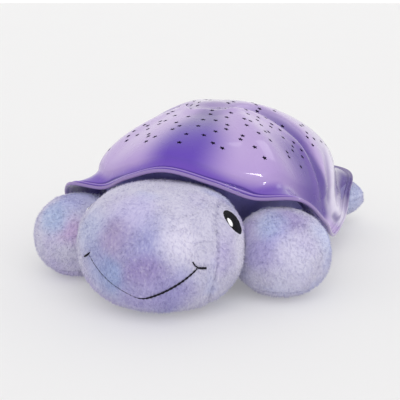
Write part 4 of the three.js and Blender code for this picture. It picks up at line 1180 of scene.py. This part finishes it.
def sew(mesh, seam, settings):
    """Draws the seams in as puckered grooves, roughens the cloth, and marks where the pile stands."""
    points = points_of(mesh)
    lift = LUMP_HEIGHT * lumps(points, LUMPS_PER_METRE) + settings.nap * lumps(points, NAP_PER_METRE)
    crease = np.zeros(len(points))
    if seam:
        away, run = seam(points)
        crease = bell(away, SEAM_THREAD_WIDTH)
        pucker = 1 + 0.5 * np.sin(run * (2 * math.pi / SEAM_PUCKER))
        lift = lift - SEAM_DEPTH * bell(away, SEAM_WIDTH) * pucker
        lift = lift + SEAM_ROLL_HEIGHT * bell(np.abs(away) - SEAM_ROLL_FROM, SEAM_ROLL_WIDTH)
    moved = points + points_of(mesh, "normal") * lift[:, None]
    moved[:, 2] = np.maximum(moved[:, 2], FLOOR_GAP)
    set_points(mesh, moved)
    keep_number(mesh, "crease", crease)
    keep_number(mesh, "pile", (1 - 0.5 * crease) * smoothstep(points[:, 2], *PILE_STARTS_Z))


def keep_number(mesh, name, values):
    mesh.attributes.new(name, "FLOAT", "POINT").data.foreach_set("value", values)


def thin_pile(mesh, shares):
    """Multiplies how much pile stands on each point by its share."""
    pile = mesh.attributes["pile"].data
    standing = np.empty(len(shares))
    pile.foreach_get("value", standing)
    pile.foreach_set("value", standing * shares)


def level_seam(height):
    """A seam that runs level round a piece."""
    return lambda points: (points[:, 2] - height, points[:, 0] + points[:, 1])


def head_seam(points):
    """Where the cheeks meet the middle panel of the head, and the dart on the forehead."""
    x, y, z = points.T
    above, below = np.maximum(z - SEAM_MIDDLE_Z, 0), np.maximum(SEAM_MIDDLE_Z - z, 0)
    line = SEAM_X - SEAM_BEND_ABOVE * (above / SEAM_SPAN) ** 2 - SEAM_BEND_BELOW * (below / SEAM_SPAN) ** 2
    cheek = np.abs(np.abs(x) - line)
    past_dart = np.maximum(DART_FRONT_Y - y, 0) + np.maximum(DART_LOW_Z - z, 0)
    dart = np.abs(x - DART_X) + DART_SHALLOW + past_dart
    return np.minimum(cheek, dart), y + z


def add_pile(piece, settings, comb):
    """Stands short closed blades on a piece, combed one way and a little tousled."""
    tree = bpy.data.node_groups.new("pile", "GeometryNodeTree")
    for way in ("INPUT", "OUTPUT"):
        tree.interface.new_socket("Geometry", in_out=way, socket_type="NodeSocketGeometry")
    web = Nodes(tree)
    skin = web.node("NodeGroupInput")
    share = web.node("GeometryNodeInputNamedAttribute", {"data_type": "FLOAT"}, {"Name": "pile"})
    roots = web.node(
        "GeometryNodeDistributePointsOnFaces", {"distribute_method": "RANDOM"},
        {"Mesh": skin, "Density": share * (settings.pile_count * 100**2), "Seed": 7},
    )
    upright = Wire(web, roots.socket.node.outputs["Normal"])
    place = web.node("GeometryNodeInputPosition")
    swirl = web.node(
        "ShaderNodeTexNoise", None, {"Vector": place, "Scale": 1 / SWIRL_SIZE, "Detail": 1.0}, out="Color",
    )
    tousle = web.node(
        "FunctionNodeRandomValue", {"data_type": "FLOAT_VECTOR"},
        {0: (-TOUSLE,) * 3, 1: (TOUSLE,) * 3, "Seed": 3},
    )
    combed = tuple(along - SWIRL_STRENGTH / 2 for along in comb)
    lean = web.blend("ADD", web.blend("MULTIPLY_ADD", swirl, (SWIRL_STRENGTH,) * 3, combed), tousle)
    way = web.blend("ADD", web.blend("SCALE", upright, scale=BLADE_UPRIGHT), lean)
    turn = web.node("FunctionNodeAlignRotationToVector", {"axis": "Z"}, {"Vector": way})
    blade = web.node("GeometryNodeMeshCone", {"fill_type": "NGON"}, {
        "Vertices": 3, "Side Segments": 1, "Fill Segments": 1, "Radius Top": 0.0,
        "Radius Bottom": BLADE_RADIUS, "Depth": settings.pile_length,
    })
    small, large = BLADE_SIZES
    size = web.node(
        "FunctionNodeRandomValue", {"data_type": "FLOAT"}, {2: small, 3: large, "Seed": 5}, out=1,
    )
    planted = web.node(
        "GeometryNodeInstanceOnPoints", None,
        {"Points": roots, "Instance": blade, "Rotation": turn, "Scale": size},
    )
    blades = web.node("GeometryNodeRealizeInstances", None, {"Geometry": planted})
    both = web.node("GeometryNodeJoinGeometry", None, {"Geometry": blades})
    web.tree.links.new(skin.socket, both.socket.node.inputs["Geometry"])
    end = web.tree.nodes.new("NodeGroupOutput")
    web.fill(end, {0: both})
    pile = piece.modifiers.new("Pile", "NODES")
    pile.node_group = tree
    bake_modifiers(piece).materials.clear()


def plush_finish(name, settings, patches):
    """Short pile coloured by soft clouds of dye, with patches where the dye shows most, and pale patches of
    painted highlight on the head.
    """
    look = Finish(name)
    drift = look.node(
        "ShaderNodeTexNoise", None, {"Vector": look.place, "Scale": 1 / DRIFT_SIZE, "Detail": 2.0},
        out="Color",
    )
    half_back = look.blend("SUBTRACT", look.place, (DRIFT_REACH / 2,) * 3)
    place = look.blend("MULTIPLY_ADD", drift, (DRIFT_REACH,) * 3, half_back)
    colour = settings.ground_colour
    for dye, size, shift, turn in DYE_CLOUDS:
        cloud = look.grain(size, vector=look.blend("ADD", look.place, shift))
        colour = look.mix(look.smooth(cloud, *turn) * CLOUD_STRENGTH, colour, getattr(settings, dye))
    # Most patches are dye; the head's two pale ones are painted highlight
    for centre, radius, dye in patches:
        strength = look.near(place, Vector(centre) * MM, radius * MM) * PATCH_STRENGTH
        patch_colour = getattr(settings, dye) if isinstance(dye, str) else srgb(*dye)
        colour = look.mix(strength, colour, patch_colour)
    speck = look.grain(SPECK_SIZE, detail=3.0, roughness=0.7, vector=place, stretch=SPECK_STRETCH)
    colour = look.tone(colour, "shaded_speck", look.fade(speck, 0.34, 0.5))
    colour = look.tone(colour, "pale_speck", look.smooth(speck, 0.53, 0.7))
    crease = look.node("ShaderNodeAttribute", {"attribute_name": "crease"}, out="Fac")
    stitched = crease * (0.12 + 0.4 * look.smooth(look.grain(2.2 * MM), 0.45, 0.6))
    return look.surface(
        Base_Color=look.tone(colour, "seam_thread", stitched),
        Roughness=0.95,
        Normal=look.bump(look.grain(0.9 * MM, detail=3.0, roughness=0.7), 0.4 * MM, 0.5),
        Sheen_Weight=0.3,
        Sheen_Roughness=0.5,
        Specular_IOR_Level=0.1,
    )


class TURTLE_OT_head(bpy.types.Operator):
    """Makes the stuffed head with its cheek seams, and embroiders the eyes and the smile on it"""

    bl_idname = "turtle.head"
    bl_label = "Head"

    def execute(self, context):
        settings = context.scene.turtle_plush
        head = stuffed_piece("stuffed_head", "plush_head", HEAD, 6, head_seam, settings)
        mesh = head.data
        self.skin = mesh_tree(mesh)
        bare = np.zeros(len(mesh.vertices))
        for side_name, side in SIDES.items():
            bare = np.maximum(bare, self.embroider_eye(side_name, side, mesh))
        bare = np.maximum(bare, self.stitch_smile(mesh))
        thin_pile(mesh, 1 - bare)
        add_pile(head, settings, comb=(0.0, 0.5, -0.7))
        head.data.materials.append(plush_finish("head_plush", settings, HEAD_PATCHES))
        return {"FINISHED"}

    def on_skin(self, place, inward):
        """The point of the head's skin straight inward of a place outside it."""
        hit = self.skin.ray_cast(Vector(place) - Vector(inward) * SKIN_SEARCH, Vector(inward))[0]
        return hit or Vector(place)

    def embroider_eye(self, side_name, side, mesh):
        """A satin oval with a white glint. Gives how much of the skin's pile the oval covers."""
        outward, centre = (Vector((side * x, y, z)) for x, y, z in (EYE_NORMAL, EYE_CENTRE))
        outward.normalize()
        back = (Vector((0, 1, 0)) - outward * outward.y).normalized()
        up = outward.cross(back) * side
        if up.z < 0:
            up = -up
        lean = math.radians(EYE_LEAN)
        along = up * math.cos(lean) - back * math.sin(lean)
        across = back * math.cos(lean) + up * math.sin(lean)
        oval = self.satin_oval(
            f"embroidered_eye_{side_name}", centre, (outward, across, along), EYE_HALF_SIZES, EYE_LIFT,
            thread_finish("black_satin", (8, 8, 12)),
        )
        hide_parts(f"eye_{side_name}")
        glint = centre + back * GLINT_BACK + up * GLINT_UP
        self.satin_oval(
            f"eye_glint_{side_name}", glint, (outward, back, up), GLINT_HALF_SIZES, GLINT_LIFT,
            thread_finish("white_satin", (246, 246, 248)),
        )
        points = points_of(mesh)
        away = points - np.array(centre)
        ways = zip((across, along), EYE_HALF_SIZES)
        wide, tall = (away @ np.array(way) / half_size for way, half_size in ways)
        return fade(np.hypot(wide, tall), *EYE_CLEARS) * (points[:, 0] * side > 0)

    def satin_oval(self, name, centre, ways, half_sizes, lift, material):
        """A low cushion of satin stitches on the skin. Ways are outward, across and along."""
        outward, across, along = ways
        bm = bmesh.new()
        bmesh.ops.create_uvsphere(bm, u_segments=40, v_segments=32, radius=1.0)
        layer = bm.loops.layers.uv.new("UVMap")
        for vert in bm.verts:
            x, z, y = vert.co
            flat = (x * half_sizes[0], y * half_sizes[1])
            base = self.on_skin(centre + across * flat[0] + along * flat[1], -outward)
            thread = SATIN_RELIEF * math.cos(2 * math.pi * flat[1] / SATIN_STITCH)
            vert.co = base + outward * (lift * z + thread if z > 0 else SATIN_DEPTH * z)
            for loop in vert.link_loops:
                loop[layer].uv = (flat[0] / SATIN_LABEL_SPAN, flat[1] / SATIN_LABEL_SPAN)
        bmesh.ops.recalc_face_normals(bm, faces=bm.faces)
        oval = keep(name, bm, sharp_angle=180)
        oval.data.materials.append(material)
        return oval

    def smile_line(self):
        """The smile seen from the front, as x and z: a soft V whose ends turn up."""
        line = []
        for x in np.arange(*SMILE_ENDS, SMILE_STEP):
            side = x - SMILE_MIDDLE_X
            rise = SMILE_SLOPE * (math.hypot(side, SMILE_ROUND) - SMILE_ROUND)
            line.append((x, SMILE_LOW_Z + rise + SMILE_END_RISE * (side / SMILE_HALF) ** 4))
        return line

    def stitch_smile(self, mesh):
        """Backstitches, thick on the turtle's left and fine on its right, with a tick at each end.

        Gives how much of the skin's pile the stitches cover.
        """
        routes = [(self.smile_line(), None)]
        routes += [([(x * MM, z * MM) for x, z in tick], thick) for tick, thick in SMILE_TICKS]
        curve = bpy.data.curves.new("smile", "CURVE")
        curve.dimensions = "3D"
        curve.bevel_depth = 1 * MM
        curve.bevel_resolution = 3
        curve.use_fill_caps = True
        points = points_of(mesh)
        covered = np.zeros(len(points))
        for route, thick in routes:
            spline = curve.splines.new("POLY")
            spline.points.add(len(route) - 1)
            run = 0
            for i, (x, z) in enumerate(route):
                place = self.on_skin((x, FACE_AHEAD_Y, z), (0, 1, 0))
                run += math.dist(route[i], route[i - 1]) if i else 0
                bold = float(smoothstep(x, *SMILE_BOLD)) * (1 - 0.3 * float(smoothstep(x, *SMILE_TAPER)))
                dip = (0.6 - 0.15 * bold) * (1 - abs(math.sin(math.pi * run / SMILE_STITCH)))
                width = thick or 0.32 + 0.5 * bold
                proud = SMILE_PROUD * (1 if thick else bold)
                spline.points[i].co = (place.x, place.y - proud, place.z, 1)
                spline.points[i].radius = width * (1 - dip)
                near = np.linalg.norm(points - np.array(place), axis=1)
                clear = 0.9 if thick else 0.25 + 0.65 * bold
                covered = np.maximum(covered, clear * fade(near, *SMILE_CLEARS))
        drawn = link("smile", curve)
        graph = bpy.context.evaluated_depsgraph_get()
        bm = bmesh.new()
        bm.from_mesh(bpy.data.meshes.new_from_object(drawn.evaluated_get(graph)))
        bpy.data.objects.remove(drawn)
        bmesh.ops.remove_doubles(bm, verts=bm.verts, dist=WELD)
        smile = keep("stitched_smile", bm, sharp_angle=180)
        smile.data.materials.append(thread_finish("black_thread", (26, 24, 34)))
        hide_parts("smile_stitching")
        return covered


def thread_finish(name, screen):
    """Rayon thread, with its strands across the stitch."""
    if name in bpy.data.materials:
        return bpy.data.materials[name]
    look = Finish(name)
    strands = look.grain(0.5 * MM, stretch=(1, 1, 3))
    colour = look.mix(strands * 0.5, srgb(*screen), srgb(*[min(255, c + 6) for c in screen]))
    return look.surface(
        Base_Color=colour, Roughness=0.6, Normal=look.bump(strands, 0.2 * MM, 0.6), Specular_IOR_Level=0.1,
    )


class TURTLE_OT_flippers(bpy.types.Operator):
    """Makes the four stuffed flippers, each with a seam round its edge"""

    bl_idname = "turtle.flippers"
    bl_label = "Flippers"

    def execute(self, context):
        settings = context.scene.turtle_plush
        front = plush_finish("front_flipper_plush", settings, FRONT_FLIPPER_PATCHES)
        rear = plush_finish("rear_flipper_plush", settings, REAR_FLIPPER_PATCHES)
        for side_name, side in SIDES.items():
            for end_name, flipper, splits, seam_z, material in (
                ("front", FRONT_FLIPPER, 6, FRONT_FLIPPER_SEAM_Z, front),
                ("rear", REAR_FLIPPER, 5, REAR_FLIPPER_SEAM_Z, rear),
            ):
                node = f"{end_name}_{side_name}_flipper"
                form = flipper_form(flipper, side)
                piece = stuffed_piece(f"stuffed_{node}", node, form, splits, level_seam(seam_z), settings)
                add_pile(piece, settings, comb=(0.3 * side, -0.2, -0.7))
                piece.data.materials.append(material)
        return {"FINISHED"}


class TURTLE_OT_tail(bpy.types.Operator):
    """Makes the small stuffed tail"""

    bl_idname = "turtle.tail"
    bl_label = "Tail"

    def execute(self, context):
        settings = context.scene.turtle_plush
        piece = stuffed_piece("stuffed_tail", "plush_tail", TAIL, 4, level_seam(TAIL_SEAM_Z), settings)
        add_pile(piece, settings, comb=(0, 0.4, -0.6))
        piece.data.materials.append(plush_finish("tail_plush", settings, TAIL_PATCHES))
        return {"FINISHED"}


def body_place(across, along):
    """The stuffed ring's skin: a level floor, a round side, a sloping top and a straight inside."""
    floor, side, top, down = BODY_SKIN_SHARES
    bearing = 360 * across - 180
    inner = RING_OUTER + BODY_RING_GAP
    tub = TUB_RADIUS + BODY_TUB_GAP
    swell = body_reach(bearing) - BODY_EDGE
    floor_reach = inner + (swell - inner) * along / floor
    turn = np.radians(-90 + 180 * np.clip((along - floor) / side, 0, 1))
    side_reach = swell + BODY_ROUND_REACH * np.cos(turn)
    side_z = BODY_MIDDLE_Z + BODY_ROUND_HEIGHT * np.sin(turn)
    top_share = np.clip((along - floor - side) / top, 0, 1)
    top_reach = swell + (tub - swell) * top_share
    top_start_z = BODY_MIDDLE_Z + BODY_ROUND_HEIGHT
    top_z = top_start_z + BODY_TOP_SWELL * np.sin(math.pi * top_share) - BODY_TOP_DROP * top_share
    down_share = np.clip((along - floor - side - top) / down, 0, 1)
    down_reach = tub + (inner - tub) * smoothstep(down_share, 0.4, 0.7)
    down_z = (top_start_z - BODY_TOP_DROP) * (1 - down_share) + BODY_FLOOR_Z * down_share
    parts = [along < floor, along < floor + side, along < floor + side + top]
    reach = np.select(parts, [floor_reach, side_reach, top_reach], down_reach)
    height = np.select(parts, [np.full_like(along, BODY_FLOOR_Z), side_z, top_z], down_z)
    return around(bearing, reach, height), {"UVMap": np.stack([across, along], axis=-1)}


class TURTLE_OT_body(bpy.types.Operator):
    """Makes the stuffed ring under the shell"""

    bl_idname = "turtle.body"
    bl_label = "Body"

    def execute(self, context):
        settings = context.scene.turtle_plush
        skin = wrap_grid(BODY_COLUMNS, BODY_ROWS, body_place)
        piece = keep("stuffed_body", skin, sharp_angle=60)
        sew(piece.data, None, settings)
        reach = np.linalg.norm(points_of(piece.data)[:, :2] - np.array([0, SHELL_AXIS_Y]), axis=1)
        thin_pile(piece.data, smoothstep(reach, *BODY_PILE_STARTS))
        add_pile(piece, settings, comb=(0, 0.2, -0.6))
        piece.data.materials.append(plush_finish("body_plush", settings, BODY_PATCHES))
        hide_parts("plush_body")
        return {"FINISHED"}


# Hard pieces that keep their solid


def plastic_finish(name, screen, roughness):
    """Moulded plastic whose tone drifts a little, with a fine grain."""
    look = Finish(name)
    paler = srgb(*[min(255, c * 1.25) for c in screen])
    return look.surface(
        Base_Color=look.mix(look.grain(22 * MM) * 0.25, srgb(*screen), paler),
        Roughness=roughness + look.grain(9 * MM) * 0.12,
        Normal=look.bump(look.grain(0.6 * MM), 0.06 * MM),
    )


def metal_finish(name, screen, roughness):
    """Plated steel with a fine brushed cloudiness."""
    look = Finish(name)
    darker = srgb(*[c * 0.75 for c in screen])
    return look.surface(
        Base_Color=look.mix(look.grain(3 * MM) * 0.3, srgb(*screen), darker),
        Metallic=1.0,
        Roughness=roughness + look.grain(1.2 * MM) * 0.2,
        Normal=look.bump(look.grain(0.4 * MM), 0.02 * MM),
    )


SHARP_ANGLE = math.radians(35)
SCREW_NUMBERS = range(1, 5)
CELL_NUMBERS = range(1, 4)
FRAME_FINISHES = {
    # The housing plastic is lighter than its own dark indigo: painted light that lifts the shade under the
    # shell
    "housing_plastic": (
        "plastic", (140, 134, 202), 0.42, ["lower_housing", "belly_ring", "battery_box", "battery_door"],
    ),
    "panel_plastic": ("plastic", (74, 62, 134), 0.32, ["button_panel"]),
    "power_cap": ("plastic", (226, 222, 238), 0.3, ["button_power"]),
    "blue_cap": ("plastic", (92, 134, 226), 0.28, ["button_blue", "led_blue"]),
    "green_cap": ("plastic", (106, 196, 128), 0.28, ["button_green", "led_green"]),
    "amber_cap": ("plastic", (240, 176, 76), 0.28, ["button_amber", "led_amber"]),
    "circuit_board": ("plastic", (38, 98, 66), 0.45, ["main_board", "lamp_board", "button_board"]),
    "black_plastic": (
        "plastic", (34, 33, 38), 0.45,
        ["control_chip", "capacitor", "lead_negative"] + [f"switch_{cap}" for cap in CAP_PLACES],
    ),
    "white_plastic": ("plastic", (232, 231, 226), 0.4, ["light_tower", "cable_header"]),
    "screw_steel": (
        "metal", (176, 178, 184), 0.3,
        [f"{place}_screw_{i}" for place in ("ring", "shell") for i in SCREW_NUMBERS]
        + ["door_screw", "board_screw_1", "board_screw_2"]
        + [f"button_board_screw_{side}" for side in SIDES],
    ),
    "contact_steel": (
        "metal", (204, 202, 194), 0.25,
        [f"battery_spring_{i}" for i in CELL_NUMBERS] + ["contact_plate_front", "contact_plate_rear"],
    ),
    "cell_jacket": ("plastic", (70, 74, 88), 0.35, [f"battery_cell_{i}" for i in CELL_NUMBERS]),
    "red_lead": ("plastic", (190, 40, 40), 0.45, ["lead_positive"]),
    "grey_cable": ("plastic", (150, 150, 158), 0.5, ["lamp_cable", "button_ribbon"]),
    "embroidery_thread": ("plastic", (28, 27, 32), 0.6, ["eye_left", "eye_right", "smile_stitching"]),
}


def node_finish(node):
    """The material that the fittings step gave a frame piece."""
    return frame["nodes"][node].data.materials[0]


def rounded_copy(name, node, width):
    """A copy of a frame piece with its sharp edges rounded, in the piece's place."""
    bm = bmesh.new()
    bm.from_mesh(frame["nodes"][node].data)
    bmesh.ops.remove_doubles(bm, verts=bm.verts, dist=FRAME_WELD)
    bmesh.ops.dissolve_limit(bm, angle_limit=math.radians(1), verts=bm.verts, edges=bm.edges)
    sharp = [e for e in bm.edges if e.is_manifold and e.calc_face_angle() > SHARP_ANGLE]
    bmesh.ops.bevel(bm, geom=sharp, offset=width, segments=3, profile=0.5, affect="EDGES", material=-1)
    piece = keep(name, bm, body=frame["nodes"][node]["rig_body"])
    piece.data.materials.clear()
    piece.data.materials.append(node_finish(node))
    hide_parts(node)


def ring_piece(name, matrix, radius, thickness, slot, turn=360, body="turtle"):
    """A round bead that follows a circle, or a part of one, on a surface."""
    bm = bmesh.new()
    section = Matrix.Translation((radius, 0, 0)) @ Matrix.Rotation(math.pi / 2, 4, "X")
    bmesh.ops.create_circle(bm, segments=12, radius=thickness, matrix=section)
    bmesh.ops.spin(
        bm, geom=bm.verts[:] + bm.edges[:], cent=(0, 0, 0), axis=(0, 0, 1), angle=math.radians(turn),
        steps=48, use_merge=turn == 360,
    )
    if turn < 360:
        bmesh.ops.holes_fill(bm, edges=[edge for edge in bm.edges if edge.is_boundary], sides=0)
    bmesh.ops.recalc_face_normals(bm, faces=bm.faces)
    bmesh.ops.transform(bm, matrix=matrix, verts=bm.verts)
    return keep(name, bm, body=body)


class TURTLE_OT_buttons(bpy.types.Operator):
    """Rounds the button panel and its caps, rings each cap, and marks the power cap and the lamp caps"""

    bl_idname = "turtle.buttons"
    bl_label = "Buttons"

    def execute(self, context):
        panel = panel_matrix()
        rounded_copy("rounded_panel", "button_panel", PANEL_ROUNDING)
        ink = plastic_finish("mark_ink", (58, 44, 118), 0.4)
        for name, (x, y) in CAP_PLACES.items():
            slot = f"{name}_cap"
            body = f"{name}_button"
            rounded_copy(f"{name}_push_cap", f"button_{name}", CAP_ROUNDING)
            seat = panel @ Matrix.Translation((x, y, PANEL_PROUD))
            collar = ring_piece(f"{name}_collar", seat, COLLAR_RADIUS, COLLAR_THICKNESS, "panel_plastic")
            collar.data.materials.append(node_finish("button_panel"))
            top = panel @ Matrix.Translation((x, y, CAP_PROUD))
            if name == "power":
                self.power_mark(top @ Matrix.Rotation(math.pi, 4, "Z"), ink)
            else:
                size = (LAMP_MARK_RADIUS, LAMP_MARK_THICKNESS)
                mark = ring_piece(f"{name}_mark", top, *size, slot, body=body)
                mark.data.materials.append(node_finish(f"button_{name}"))
        return {"FINISHED"}

    def power_mark(self, top, ink):
        """The open ring and the upright bar of the usual power mark."""
        start = top @ Matrix.Rotation(math.radians(90 + (360 - POWER_ARC_TURN) / 2), 4, "Z")
        size = (POWER_ARC_RADIUS, POWER_MARK_THICKNESS)
        arc = ring_piece("power_arc", start, *size, "power_cap", turn=POWER_ARC_TURN, body="power_button")
        bm = bmesh.new()
        rounded_prism(
            bm, top @ Matrix.Translation((0, POWER_BAR_UP, 0)), *POWER_BAR_HALF_SIZES,
            POWER_MARK_THICKNESS, -POWER_BAR_SINK, POWER_MARK_THICKNESS, segments=4,
        )
        edges = [edge for edge in bm.edges if edge.calc_face_angle(0) > math.radians(60)]
        bmesh.ops.bevel(
            bm, geom=edges, offset=POWER_BAR_ROUNDING, segments=2, profile=0.5, affect="EDGES", material=-1,
        )
        bar = keep("power_bar", bm, body="power_button")
        for mark in (arc, bar):
            mark.data.materials.append(ink)


class TURTLE_OT_belly(bpy.types.Operator):
    """Rounds the edges of the battery door and of the ring that clamps the belly fabric"""

    bl_idname = "turtle.belly"
    bl_label = "Belly"

    def execute(self, context):
        rounded_copy("rounded_door", "battery_door", BELLY_ROUNDING)
        rounded_copy("rounded_ring", "belly_ring", BELLY_ROUNDING)
        return {"FINISHED"}


class TURTLE_OT_fittings(bpy.types.Operator):
    """Gives every piece that keeps its own solid the finish of its material slot"""

    bl_idname = "turtle.fittings"
    bl_label = "Fittings"

    def execute(self, context):
        for slot, (kind, screen, roughness, nodes) in FRAME_FINISHES.items():
            build = metal_finish if kind == "metal" else plastic_finish
            material = build(slot, screen, roughness)
            for node in nodes:
                mesh = frame["nodes"][node].data
                mesh.materials.clear()
                mesh.materials.append(material)
        return {"FINISHED"}


# Stage


class TURTLE_OT_stage(bpy.types.Operator):
    """Sets the camera, the pale floor and the soft lights"""

    bl_idname = "turtle.stage"
    bl_label = "Stage"

    def execute(self, context):
        settings = context.scene.turtle_stage
        self.add_camera()
        self.add_floor(settings)
        self.add_lights(settings)
        return {"FINISHED"}

    def add_camera(self):
        azimuth, elevation = math.radians(CAMERA_AZIMUTH), math.radians(CAMERA_ELEVATION)
        level = math.cos(elevation)
        back = Vector((math.sin(azimuth) * level, -math.cos(azimuth) * level, math.sin(elevation)))
        camera = link("camera", bpy.data.cameras.new("camera"))
        camera.data.sensor_width = SENSOR_WIDTH
        camera.data.lens = SENSOR_WIDTH * FOCAL_PIXELS / PHOTO_SIDE_PIXELS
        camera.data.clip_start = 0.01
        camera.rotation_mode = "QUATERNION"
        camera.location = CAMERA_AIM + back * CAMERA_DISTANCE
        camera.rotation_quaternion = back.to_track_quat("Z", "Y")
        bpy.context.scene.camera = camera

    def add_floor(self, settings):
        bm = bmesh.new()
        bmesh.ops.create_circle(bm, cap_ends=True, segments=96, radius=FLOOR_REACH)
        floor = new_object("floor", bm)
        look = Finish("floor_paper")
        tone = look.grain(0.5, detail=1.0)
        floor.data.materials.append(look.surface(
            Base_Color=look.mix(tone * 0.15, settings.floor_colour, srgb(206, 206, 207)),
            Roughness=0.8,
            Specular_IOR_Level=0.1,
            Emission_Color=srgb(236, 236, 236),
            Emission_Strength=settings.floor_glow,
        ))

    def add_lights(self, settings):
        scene = bpy.context.scene
        scene.view_settings.view_transform = "Standard"
        room = bpy.data.worlds.new("room")
        scene.world = room
        room.use_nodes = True
        sky = Nodes(room.node_tree)
        height = sky.axes(sky.node("ShaderNodeTexCoord", out="Generated"))[2]
        colour = sky.mix(sky.smooth(height, 0.1, 0.95), srgb(255, 254, 252), srgb(209, 208, 209))
        background = room.node_tree.nodes["Background"]
        sky.fill(background, {"Color": colour, "Strength": settings.room_strength})

        sun = self.add_lamp("sun", "SUN", SUN_PLACE, settings.sun_strength)
        sun.data.angle = math.radians(SUN_SPREAD)
        sun.visible_glossy = False
        for name, (place, sides, watts) in SOFT_BOXES.items():
            box = self.add_lamp(name, "AREA", place, watts)
            box.data.shape = "RECTANGLE"
            box.data.size, box.data.size_y = sides
            box.visible_diffuse = False

    def add_lamp(self, name, kind, place, energy):
        lamp = link(name, bpy.data.lights.new(name, kind))
        lamp.data.energy = energy
        lamp.location = place
        lamp.rotation_mode = "QUATERNION"
        lamp.rotation_quaternion = (Vector(place) - LAMP_AIM).to_track_quat("Z", "Y")
        return lamp


class TURTLE_PT_panel(bpy.types.Panel):
    """Lists the steps and their settings"""

    bl_idname = "TURTLE_PT_panel"
    bl_label = "Turtle night light"
    bl_space_type = "VIEW_3D"
    bl_region_type = "UI"
    bl_category = "Turtle"

    def draw(self, context):
        for owner in ("turtle_stage", "turtle_shell", "turtle_plush"):
            settings = getattr(context.scene, owner)
            box = self.layout.box()
            for name in settings.__annotations__:
                box.prop(settings, name)
        for operator in OPERATORS:
            self.layout.operator(operator.bl_idname)


SETTINGS = {"turtle_shell": ShellSettings, "turtle_plush": PlushSettings, "turtle_stage": StageSettings}
OPERATORS = (
    TURTLE_OT_stage, TURTLE_OT_fittings, TURTLE_OT_buttons, TURTLE_OT_belly, TURTLE_OT_shell,
    TURTLE_OT_body, TURTLE_OT_head, TURTLE_OT_flippers, TURTLE_OT_tail,
)


def register():
    for name, group in SETTINGS.items():
        bpy.utils.register_class(group)
        setattr(bpy.types.Scene, name, bpy.props.PointerProperty(type=group))
    for made in (*OPERATORS, TURTLE_PT_panel):
        bpy.utils.register_class(made)


def unregister():
    for made in reversed((*OPERATORS, TURTLE_PT_panel)):
        bpy.utils.unregister_class(made)
    for name, group in SETTINGS.items():
        delattr(bpy.types.Scene, name)
        bpy.utils.unregister_class(group)


def main():
    register()
    for operator in OPERATORS:
        area, step = operator.bl_idname.split(".")
        getattr(getattr(bpy.ops, area), step)()


if __name__ == "__main__":
    main()
